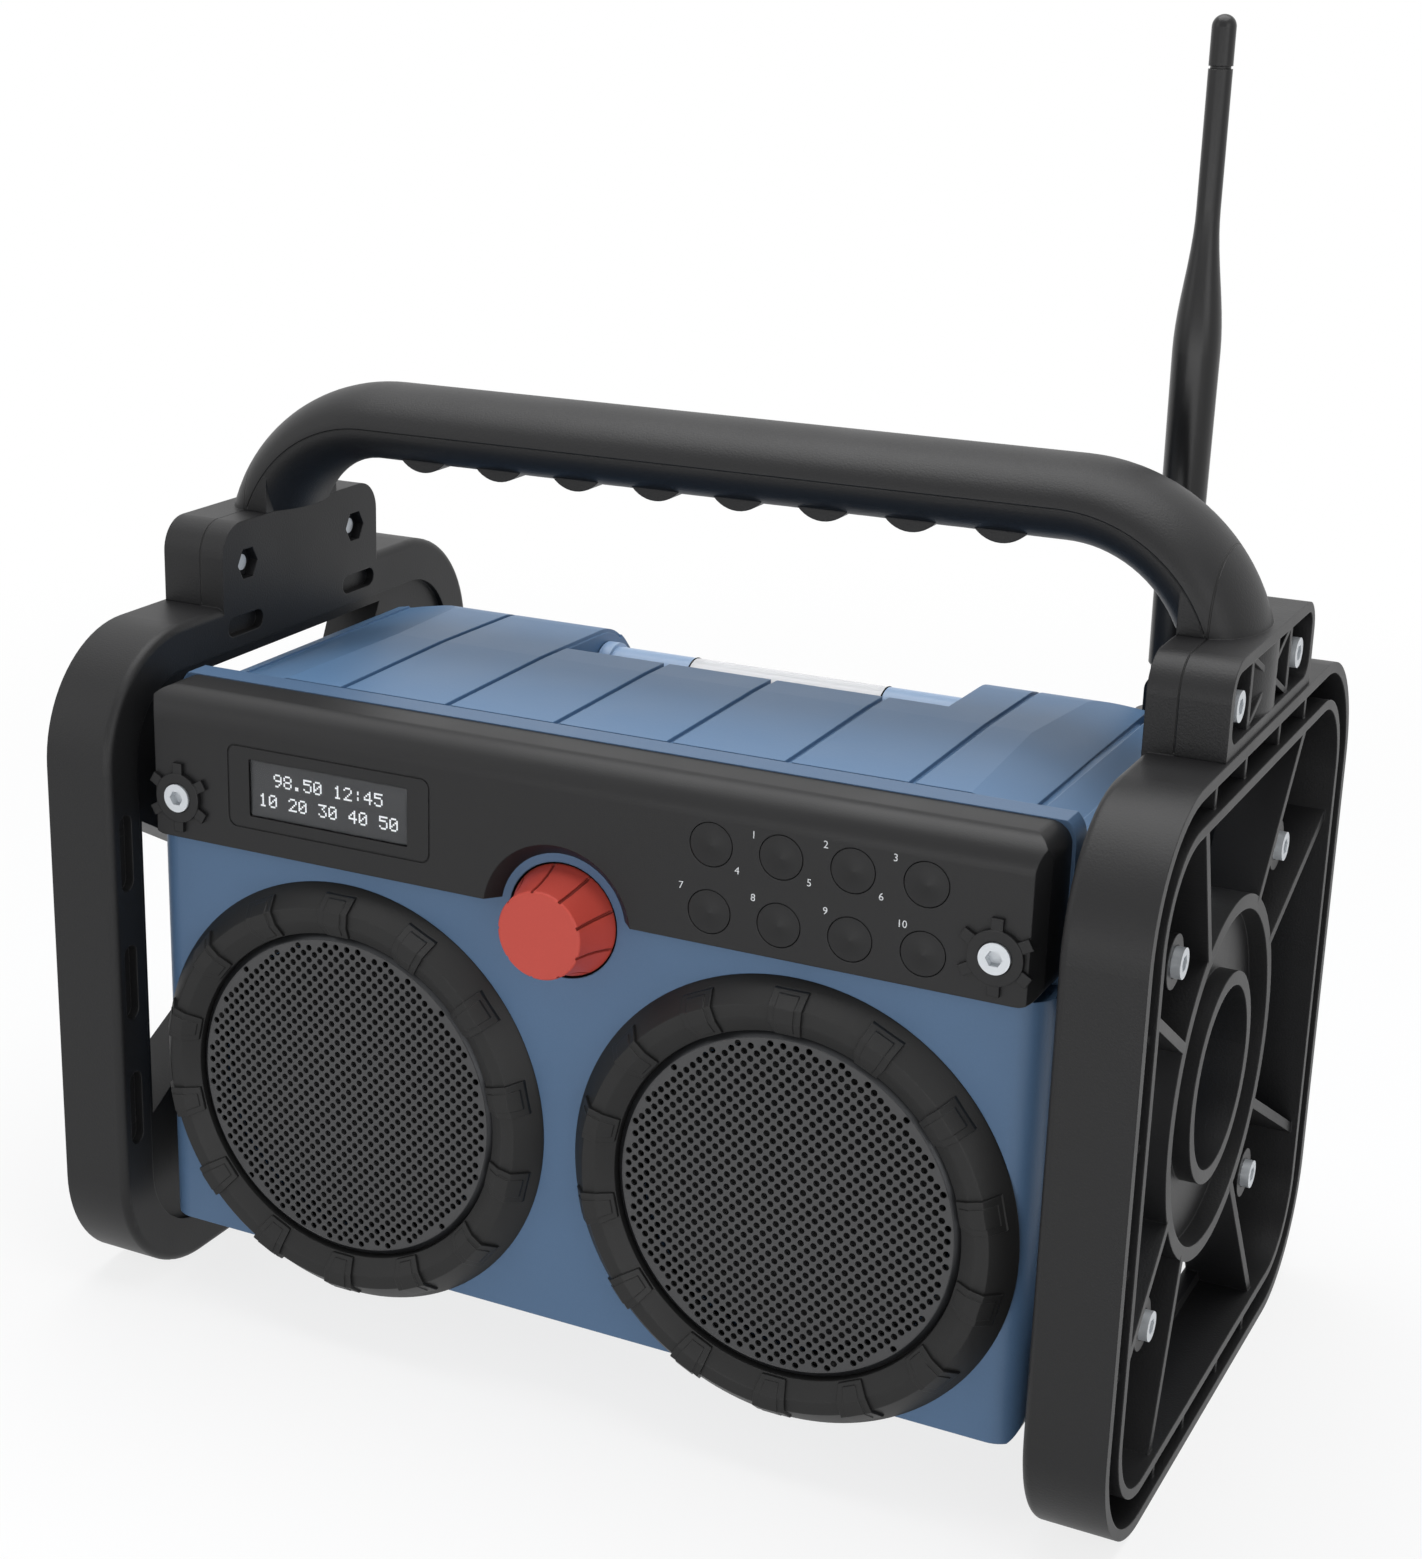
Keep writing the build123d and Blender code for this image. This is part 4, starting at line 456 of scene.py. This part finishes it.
def mesh_of(name, points, faces):
    """A closed mesh from points in metres."""
    mesh = bpy.data.meshes.new(name)
    mesh.from_pydata([tuple(point) for point in points], [], faces)
    return closed(mesh)


def piece(name, mesh, finish, body, replaced=(), sharp=32.0):
    """A finished mesh becomes a piece that rides on a body and may stand for solids."""
    mesh.materials.clear()
    mesh.materials.append(finishes[finish])
    mesh.shade_smooth()
    mesh.set_sharp_from_angle(angle=radians(sharp))
    made = placed(name, mesh)
    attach(made, body)
    if replaced:
        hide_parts(*replaced)
    print(name, len(mesh.polygons), "faces, rides on", body)


# %% [markdown]
# ## Recipes
#
# Holes, lugs and display dots repeat, the holes a thousand times. Each is one small shape
# and a rule for where it goes, so Geometry Nodes make them: the tree is the rule, its
# named inputs are the sizes, and its last two nodes turn the copies into one real mesh
# with a finish. The result is then taken off as a plain mesh, so nothing live is left.


# %% A tree as a recipe
class Recipe(Wiring):
    """A Geometry Nodes tree with named sizes."""

    def __init__(self, name):
        self.tree = bpy.data.node_groups.new(name, "GeometryNodeTree")
        self.inlet = self.tree.nodes.new("NodeGroupInput")
        self.outlet = self.tree.nodes.new("NodeGroupOutput")
        self.tree.interface.new_socket(
            "Shape", in_out="OUTPUT", socket_type="NodeSocketGeometry"
        )
        self.shape = self.size("Shape", "Geometry")

    def size(self, name, kind="Float"):
        """Adds a named input and returns its signal."""
        self.tree.interface.new_socket(name, in_out="INPUT", socket_type=f"NodeSocket{kind}")
        return Signal(self, self.inlet.outputs[name])

    def joined(self, *shapes):
        join = self.tree.nodes.new("GeometryNodeJoinGeometry")
        for shape in shapes:
            self.tree.links.new(shape.socket, join.inputs[0])
        return Signal(self, join.outputs[0])

    def ends_in(self, shape, finish):
        real = self.node("GeometryNodeRealizeInstances", None, {"Geometry": shape})
        painted = self.node(
            "GeometryNodeSetMaterial", None, {"Geometry": real, "Material": finishes[finish]}
        )
        self.tree.links.new(painted.socket, self.outlet.inputs[0])


def plain_mesh(holder):
    """The mesh that a live object shows. The object itself is taken away."""
    graph = bpy.context.evaluated_depsgraph_get()
    mesh = bpy.data.meshes.new_from_object(holder.evaluated_get(graph), depsgraph=graph)
    bpy.data.objects.remove(holder)
    return mesh


def grown(recipe, start=None, **sizes):
    """Follows a recipe from a start mesh and returns the plain mesh that it makes."""
    holder = placed(recipe.tree.name, start or bpy.data.meshes.new("nothing"))
    modifier = holder.modifiers.new("recipe", "NODES")
    modifier.node_group = recipe.tree
    for entry in recipe.tree.interface.items_tree:
        if entry.in_out == "INPUT" and entry.name in sizes:
            modifier[entry.identifier] = sizes[entry.name]
    return plain_mesh(holder)


def facing_front(mesh, x, y, z, turn=0.0):
    """Stands a flat shape upright: its own Z looks to the front, its origin goes to (x, y, z)."""
    mesh.transform(
        Matrix.Translation(Vector((x, y, z)) * mm)
        @ Matrix.Rotation(radians(90), 4, "X")
        @ Matrix.Rotation(radians(turn), 4, "Z")
    )
    return mesh


# %% [markdown]
# ## Speaker grilles
#
# A grille is a disc punched from perforated steel sheet: round holes in staggered rows,
# powder-coated grey. Cutting a thousand holes with booleans is slow and leaves a poor
# mesh. Here the holes are circles on a chequered grid of points, filled together with the
# rim by Fill Curve and given their thickness by Extrude Mesh, so every hole has ten clean
# walls. Holes too near the rim are left out, as they fall under the rubber surround.

# %% Perforated sheets
speaker_x = 70.4
speaker_z = 82.7
speakers = (("left", -speaker_x), ("right", speaker_x))
hole_rows = 53
sheet_back_y = -92.8
rim_steps = 160
bead_radius = 0.18 * mm
bead_drop = 0.1 * mm

punched = Recipe("punched_sheet")
radius = punched.size("sheet_radius")
thickness = punched.size("thickness")
hole = punched.size("hole_radius")
pitch = punched.size("row_pitch")
margin = punched.size("margin")
field = punched.node(
    "GeometryNodeMeshGrid",
    None,
    {
        "Size X": pitch * (hole_rows - 1),
        "Size Y": pitch * (hole_rows - 1),
        "Vertices X": hole_rows,
        "Vertices Y": hole_rows,
    },
)
order = punched.node("GeometryNodeInputIndex")
row = order.math("FLOOR", (order + 0.5) / hole_rows)
chequer = order.math("MODULO", row + (order - row * hole_rows), 2.0)
spot = punched.node("GeometryNodeInputPosition")
middle_distance = punched.node(
    "ShaderNodeVectorMath", {"operation": "LENGTH"}, {0: spot}, "Value"
)
inside = middle_distance.math("LESS_THAN", middle_distance, radius - hole - margin)
circle = punched.node(
    "GeometryNodeCurvePrimitiveCircle", {"mode": "RADIUS"}, {"Resolution": 10, "Radius": hole}
)
holes = punched.node(
    "GeometryNodeInstanceOnPoints",
    None,
    {"Points": field, "Selection": inside * (1.0 - chequer), "Instance": circle},
)
rim = punched.node(
    "GeometryNodeCurvePrimitiveCircle",
    {"mode": "RADIUS"},
    {"Resolution": rim_steps, "Radius": radius},
)
outline = punched.joined(
    punched.node("GeometryNodeRealizeInstances", None, {"Geometry": holes}), rim
)
sheet = punched.node("GeometryNodeFillCurve", {"mode": "TRIANGLES"}, {"Curve": outline})
raised = punched.node(
    "GeometryNodeExtrudeMesh",
    {"mode": "FACES"},
    {
        "Mesh": sheet,
        "Offset": punched.node("ShaderNodeCombineXYZ", None, {"Z": 1.0}),
        "Offset Scale": thickness,
        "Individual": False,
    },
)
under = punched.node("GeometryNodeFlipFaces", None, {"Mesh": sheet})
plate = punched.node(
    "GeometryNodeMergeByDistance",
    None,
    {"Geometry": punched.joined(raised, under), "Distance": 1e-6},
)
bead = punched.node(
    "GeometryNodeCurvePrimitiveCircle", {"mode": "RADIUS"}, {"Resolution": 6, "Radius": bead_radius}
)
edge_line = punched.node(
    "GeometryNodeCurvePrimitiveCircle",
    {"mode": "RADIUS"},
    {"Resolution": rim_steps, "Radius": radius - bead_radius},
)
edge_bead = punched.node(
    "GeometryNodeCurveToMesh", None, {"Curve": edge_line, "Profile Curve": bead}
)
lifted = punched.node(
    "GeometryNodeTransform",
    None,
    {
        "Geometry": edge_bead,
        "Translation": punched.node("ShaderNodeCombineXYZ", None, {"Z": thickness - bead_drop}),
    },
)
punched.ends_in(punched.joined(plate, lifted), "grille_grey")

for side, x in speakers:
    sheet_mesh = grown(
        punched,
        sheet_radius=48.7 * mm,
        thickness=0.8 * mm,
        hole_radius=0.98 * mm,
        row_pitch=1.87 * mm,
        margin=0.05 * mm,
    )
    facing_front(sheet_mesh, x, sheet_back_y, speaker_z)
    piece(
        f"grille_sheet_{side}", closed(sheet_mesh), "grille_grey", "cabinet",
        [f"grille_{side}"], sharp=45.0,
    )

# %% [markdown]
# ## Speaker surrounds
#
# Each speaker sits behind a moulded rubber ring that takes the knocks: steep outer bevel,
# flat crest, long inner bevel, with fourteen raised lugs over it. The ring is turned from
# a profile whose corners are rounded first. A lug is lofted through four stations across
# the ring, and Geometry Nodes set fourteen of them around the centre. The brim of the
# grille closes the gap between its sheet and the ring; it is darker than the sheet as
# painted shade for that deep gap. A foam gasket behind the sheet's edge hides the inside
# of the cabinet.


# %% Turned and lofted shapes
def softened(outline, radius, steps=3):
    """A closed outline with each corner rounded by a short curve."""
    rounded = []
    for place, corner in enumerate(outline):
        corner = Vector(corner)
        ends = []
        for neighbour in (outline[place - 1], outline[(place + 1) % len(outline)]):
            away = Vector(neighbour) - corner
            ends.append(corner + away.normalized() * min(radius, away.length * 0.45))
        for step in range(steps + 1):
            share = step / steps
            curve = ends[0] * (1 - share) ** 2 + ends[1] * share**2
            rounded.append(curve + corner * 2 * share * (1 - share))
    return rounded


def lathe(name, profile, x, z, steps=168):
    """A ring about an axis that points to the front, from a closed (radius, y) profile."""
    points = []
    faces = []
    size = len(profile)
    for step in range(steps):
        angle = 2 * pi * step / steps
        for radius, y in profile:
            points.append(Vector((x + radius * cos(angle), y, z + radius * sin(angle))) * mm)
    for step in range(steps):
        here = step * size
        there = (step + 1) % steps * size
        for place in range(size):
            after = (place + 1) % size
            faces.append((here + place, here + after, there + after, there + place))
    return mesh_of(name, points, faces)


def lofted(stations, thickness, bevel):
    """A bar over (reach, height, half width) stations, in mm, with its edges rounded."""
    points = []
    for reach, height, half in stations:
        for side, level in ((-half, 0), (half, 0), (half, thickness), (-half, thickness)):
            points.append(Vector((reach, side, height - level)) * mm)
    faces = [(3, 2, 1, 0)]
    for start in range(0, 4 * (len(stations) - 1), 4):
        for corner in range(4):
            after = (corner + 1) % 4
            faces.append((start + corner, start + after, start + 4 + after, start + 4 + corner))
    last = 4 * (len(stations) - 1)
    faces.append((last, last + 1, last + 2, last + 3))
    form = bmesh.new()
    corners = [form.verts.new(point) for point in points]
    for face in faces:
        form.faces.new([corners[corner] for corner in face])
    bmesh.ops.recalc_face_normals(form, faces=form.faces)
    bmesh.ops.bevel(
        form, geom=list(form.edges), offset=bevel * mm, segments=2, profile=0.5, affect="EDGES"
    )
    mesh = bpy.data.meshes.new("bar")
    form.to_mesh(mesh)
    form.free()
    return mesh


def merged(name, meshes):
    """One mesh from several closed ones."""
    form = bmesh.new()
    for mesh in meshes:
        form.from_mesh(mesh)
    whole = bpy.data.meshes.new(name)
    form.to_mesh(whole)
    form.free()
    return whole


# %% Rings, lugs, brims and gaskets
around = Recipe("around_the_ring")
count = around.size("lugs", "Int")
reach = around.size("ring_radius")
stand = around.node("GeometryNodeMeshCircle", None, {"Vertices": count, "Radius": reach})
outwards = around.node(
    "FunctionNodeAlignRotationToVector",
    {"axis": "X"},
    {"Vector": around.node("GeometryNodeInputPosition")},
)
around.ends_in(
    around.node(
        "GeometryNodeInstanceOnPoints",
        None,
        {"Points": stand, "Instance": around.shape, "Rotation": outwards},
    ),
    "ring_rubber",
)

ring_profile = softened(
    [
        (46.5, -90.1), (65.5, -90.1), (64.4, -91.4), (59.4, -97.4), (55.6, -97.4),
        (50.8, -94.2), (50.8, -91.4), (46.5, -91.4),
    ],
    0.3,
)
brim_profile = softened(
    [(48.2, -93.4), (48.75, -93.55), (50.45, -92.15), (50.45, -91.45), (48.2, -92.7)], 0.2
)
gasket_profile = softened([(43.6, -90.2), (46.2, -90.2), (46.2, -92.6), (43.6, -92.6)], 0.4)
lug_count = 14
lug_middle = 57.5
lug_stations = [(51.0, 95.4, 3.6), (55.4, 98.4, 4.6), (59.6, 98.4, 4.8), (63.2, 93.9, 5.0)]
inset_stations = [(51.9, 96.4, 2.0), (55.5, 98.8, 2.6), (59.5, 98.8, 2.8), (62.4, 95.4, 2.9)]
base_height = 90.1
lug = merged(
    "lug",
    [
        lofted([(r - lug_middle, h - base_height, w) for r, h, w in lug_stations], 2.2, 0.15),
        lofted([(r - lug_middle, h - base_height, w) for r, h, w in inset_stations], 1.2, 0.12),
    ],
)
for side, x in speakers:
    piece(
        f"surround_{side}", lathe("surround", ring_profile, x, speaker_z), "ring_rubber",
        "cabinet", [f"speaker_ring_{side}"], sharp=12.0,
    )
    lugs = grown(around, lug, lugs=lug_count, ring_radius=lug_middle * mm)
    facing_front(lugs, x, -base_height, speaker_z, 90.0)
    piece(f"surround_lugs_{side}", lugs, "ring_rubber", "cabinet", (), sharp=12.0)
    piece(
        # The brim is the sheet's bent-back rim; its darker steel is painted shade for the deep gap
        # at the ring.
        f"grille_brim_{side}", lathe("brim", brim_profile, x, speaker_z), "basket_steel",
        "cabinet", (),
    )
    piece(
        f"grille_gasket_{side}", lathe("gasket", gasket_profile, x, speaker_z, 96), "foam_black",
        "cabinet", (),
    )

# %% [markdown]
# ## Knob seat
#
# The round recess behind the knob is lined in near-black as painted shade, which makes
# the running gap around the knob read as one dark line.

# %% Knob seat
seat_shade_profile = softened(
    [(16.86, -90.0), (16.6, -90.0), (16.6, -88.72), (8.0, -88.72), (8.0, -88.52), (16.86, -88.52)],
    0.1, 2,
)
# The near-black lining is painted shade for the gap around the knob.
piece("knob_seat_shade", lathe("seat_shade_profile", seat_shade_profile, 0.0, knob_z, 96), "foam_black", "cabinet", ())

# %% [markdown]
# ## Display
#
# The display is a grey liquid-crystal plate just under a clear window, with two rows of
# figures made of square dots, five wide and seven high. A dot is one small tile that
# Geometry Nodes set on a point for each lit place; the points come from the figures'
# shapes, written as rows of ones and noughts.

# %% Lit figures
figures = {
    "0": "01110 10001 10011 10101 11001 10001 01110",
    "1": "00100 01100 00100 00100 00100 00100 01110",
    "2": "01110 10001 00001 00010 00100 01000 11111",
    "3": "11111 00010 00100 00010 00001 10001 01110",
    "4": "00010 00110 01010 10010 11111 00010 00010",
    "5": "11111 10000 11110 00001 00001 10001 01110",
    "8": "01110 10001 10001 01110 10001 10001 01110",
    "9": "01110 10001 10001 01111 00001 00010 01100",
    ":": "00000 00100 00100 00000 00100 00100 00000",
    ".": "00000 00000 00000 00000 00000 01100 01100",
    " ": "00000 00000 00000 00000 00000 00000 00000",
}
dot_pitch = 0.565
figure_pitch = 3.4
display_rows = (("98.50 12:45", -92.6, 177.0), ("10 20 30 40 50", -97.8, 170.5))
plate_y = -93.75

lit = []
for words, left, middle in display_rows:
    for place, figure in enumerate(words):
        for row_number, row_dots in enumerate(figures[figure].split()):
            for column, dot in enumerate(row_dots):
                if dot == "1":
                    x = left + place * figure_pitch + (column + 0.5) * dot_pitch
                    lit.append(Vector((x, middle + (3 - row_number) * dot_pitch, 0.0)) * mm)

tiles = Recipe("dots")
dot_side = tiles.size("dot")
dot_depth = tiles.size("depth")
tile_size = tiles.node(
    "ShaderNodeCombineXYZ", None, {"X": dot_side, "Y": dot_side, "Z": dot_depth}
)
tile = tiles.node("GeometryNodeMeshCube", None, {"Size": tile_size})
tiles.ends_in(
    tiles.node("GeometryNodeInstanceOnPoints", None, {"Points": tiles.shape, "Instance": tile}),
    "figure_white",
)

numbers = bpy.data.meshes.new("lit_places")
numbers.from_pydata([tuple(point) for point in lit], [], [])
shown = facing_front(grown(tiles, numbers, dot=0.52 * mm, depth=0.08 * mm), 0.0, plate_y, 0.0)
piece("display_figures", shown, "figure_white", "cabinet")


# %% Window and plate
def slab(name, x, z, width, height, corner, front, back, bevel):
    """A plate that faces the front, with round corners and a bevelled front edge, in mm."""
    right = width / 2
    top = height / 2
    outline = softened([(-right, -top), (right, -top), (right, top), (-right, top)], corner, 5)
    levels = [(0.0, back), (0.0, front + bevel), (0.3 * bevel, front + 0.3 * bevel), (bevel, front)]
    points = []
    for inset, y in levels:
        for across, up in outline:
            place = (x + across * (1 - inset / right), y, z + up * (1 - inset / top))
            points.append(Vector(place) * mm)
    size = len(outline)
    faces = [tuple(range(size)), tuple(range(3 * size, 4 * size))]
    for level in range(0, 3 * size, size):
        for place in range(size):
            after = (place + 1) % size
            faces.append((level + place, level + after, level + size + after, level + size + place))
    return mesh_of(name, points, faces)


display_x = -74.1
display_z = 173.55
window = merged(
    "window",
    [
        slab(
            "front", display_x, display_z, width=53.2, height=17.1, corner=0.6,
            front=-94.2, back=-93.95, bevel=0.12,
        ),
        slab(
            "flange", display_x, display_z, width=58.0, height=22.0, corner=1.2,
            front=-92.15, back=-91.45, bevel=0.2,
        ),
    ],
)
piece("display_glass", window, "display_clear", "cabinet", ["display_window"])
crystal = slab(
    "crystal", display_x, display_z, width=53.0, height=16.9, corner=0.6,
    front=plate_y, back=-92.25, bevel=0.1,
)
piece("display_plate", crystal, "display_grey", "cabinet", ())

# %% [markdown]
# ## Numbers beside the buttons
#
# The panel is printed with plain numbers, one beside each function. A text object makes
# each number; it becomes a mesh first, then stands upright on the panel's face, a few
# hundredths of a millimetre proud, as pad-printed ink does.

# %% Printed numbers
number_places = (
    (1, 58.2, 187.1), (2, 78.4, 188.0), (3, 97.5, 187.9), (4, 53.8, 176.4), (5, 74.2, 176.8),
    (6, 94.1, 176.7), (7, 37.7, 169.5), (8, 58.6, 169.8), (9, 79.0, 170.0), (10, 100.1, 170.5),
)
panel_face_y = -94.4
number_height = 2.9
ink_depth = 0.02
inked = []
for number, x, z in number_places:
    words = bpy.data.curves.new("number", "FONT")
    words.body = str(number)
    words.size = number_height * mm
    words.align_x = "CENTER"
    words.align_y = "CENTER"
    words.extrude = ink_depth * mm
    words.resolution_u = 3
    inked.append(facing_front(plain_mesh(placed("number", words)), x, panel_face_y, z))
piece("panel_numbers", closed(merged("numbers", inked)), "print_white", "cabinet")

# %% [markdown]
# ## Lamp window seal
#
# A thin black bead runs around the lamp's clear window, on the surface of the tube. A
# closed curve follows the window's edge, straight along the tube and round it at the
# ends, and a round bevel gives the curve its thickness.

# %% Window seal
lamp_y = 33.6
lamp_z = 185.3
lamp_radius = 7.95
window_ends = (-20.0, 44.0)
window_half_angle = 55
angle_step = 5
seal_radius = 0.28
over = range(-window_half_angle, window_half_angle + 1, angle_step)
bead_path = []
for x, angles in zip(window_ends, (over, reversed(over))):
    for angle in angles:
        turn = radians(angle)
        bead_path.append((x, lamp_y - lamp_radius * sin(turn), lamp_z + lamp_radius * cos(turn)))

bead_curve = bpy.data.curves.new("seal", "CURVE")
bead_curve.dimensions = "3D"
bead_curve.bevel_depth = seal_radius * mm
bead_curve.bevel_resolution = 2
loop = bead_curve.splines.new("POLY")
loop.points.add(len(bead_path) - 1)
for point, place in zip(loop.points, bead_path):
    point.co = (*(Vector(place) * mm), 1.0)
loop.use_cyclic_u = True
seal = plain_mesh(placed("seal", bead_curve))
piece("lamp_window_seal", closed(seal), "foam_black", "lamp", ())

# %% [markdown]
# ## Studio
#
# The radio stands on a pale floor under large soft lamps: one overhead, one at each
# side of the camera and a weak low one in front. A white background is painted only for
# the camera and for rays that mirror or pass through, so it adds no light to the radio.

# %% World and lamps
scene = bpy.context.scene
scene.view_settings.view_transform = "Standard"

world = bpy.data.worlds.new("studio")
scene.world = world
world.use_nodes = True
tree = world.node_tree
tree.nodes.clear()
light_path = tree.nodes.new("ShaderNodeLightPath")
seen = light_path.outputs["Is Camera Ray"]
for kind in ("Is Glossy Ray", "Is Transmission Ray"):
    either = tree.nodes.new("ShaderNodeMath")
    either.operation = "MAXIMUM"
    tree.links.new(seen, either.inputs[0])
    tree.links.new(light_path.outputs[kind], either.inputs[1])
    seen = either.outputs[0]
room = tree.nodes.new("ShaderNodeBackground")
room.inputs["Color"].default_value = (0.94, 0.97, 1.0, 1.0)
room.inputs["Strength"].default_value = 0.4
white = tree.nodes.new("ShaderNodeBackground")
white.inputs["Color"].default_value = (1.0, 1.0, 1.0, 1.0)
choice = tree.nodes.new("ShaderNodeMixShader")
out = tree.nodes.new("ShaderNodeOutputWorld")
tree.links.new(seen, choice.inputs[0])
tree.links.new(room.outputs[0], choice.inputs[1])
tree.links.new(white.outputs[0], choice.inputs[2])
tree.links.new(choice.outputs[0], out.inputs["Surface"])


def softbox(name, place, target, size, power):
    """A square area lamp that faces its target."""
    data = bpy.data.lights.new(name, "AREA")
    data.shape = "RECTANGLE"
    data.size = size[0]
    data.size_y = size[1]
    data.energy = power
    lamp = placed(name, data)
    lamp.location = place
    lamp.rotation_mode = "QUATERNION"
    lamp.rotation_quaternion = (Vector(target) - Vector(place)).to_track_quat("-Z", "Y")


softbox("lamp_above", (0.0, 0.1, 1.4), (0.0, 0.0, 0.2), (1.4, 1.2), 17.0)
softbox("lamp_left", (-1.4, -1.2, 0.9), (0.0, 0.0, 0.15), (0.9, 1.2), 3.2)
softbox("lamp_right", (1.5, -0.9, 0.7), (0.0, 0.0, 0.1), (0.9, 1.0), 5.0)
softbox("lamp_low", (0.3, -1.1, 0.12), (0.1, 0.0, 0.05), (1.6, 0.2), 3.8)
print("four lamps")

# %% [markdown]
# ## Floor
#
# The floor is a wide white sheet. Close to the radio it still takes the soft shadow, and
# further out a glow that only the camera and mirror rays see fades it into the white
# background, so no horizon line shows behind the radio.

# %% Floor
floor_half = 12.0
floor_mesh = bpy.data.meshes.new("floor")
floor_mesh.from_pydata(
    [(floor_half * x, floor_half * y, 0.0) for x, y in ((-1, -1), (1, -1), (1, 1), (-1, 1))],
    [],
    [(0, 1, 2, 3)],
)
floor = placed("floor", floor_mesh)
ground = Finish("floor_white")
ground.set(Base_Color=colour(242, 242, 242), Roughness=0.7, Specular_IOR_Level=0.1)
glow = ground.node("ShaderNodeEmission", None, {"Color": (1.0, 1.0, 1.0, 1.0), "Strength": 1.0})
away = ground.node("ShaderNodeVectorMath", {"operation": "LENGTH"}, {0: ground.place()}, "Value")
rays = [
    ground.node("ShaderNodeLightPath", result=f"Is {kind} Ray")
    for kind in ("Camera", "Glossy", "Transmission")
]
watched = (rays[0] + rays[1] + rays[2]).limited(0.0, 1.0)
share = (0.8 + away.above(0.7, 0.35) * 0.2) * watched
mixed = ground.node("ShaderNodeMixShader", None, {0: share, 2: glow})
ground.tree.links.new(ground.shader.outputs[0], mixed.socket.node.inputs[1])
ground.tree.links.new(mixed.socket, ground.output.inputs["Surface"])
floor_mesh.materials.append(ground.material)
print("floor", floor.name)
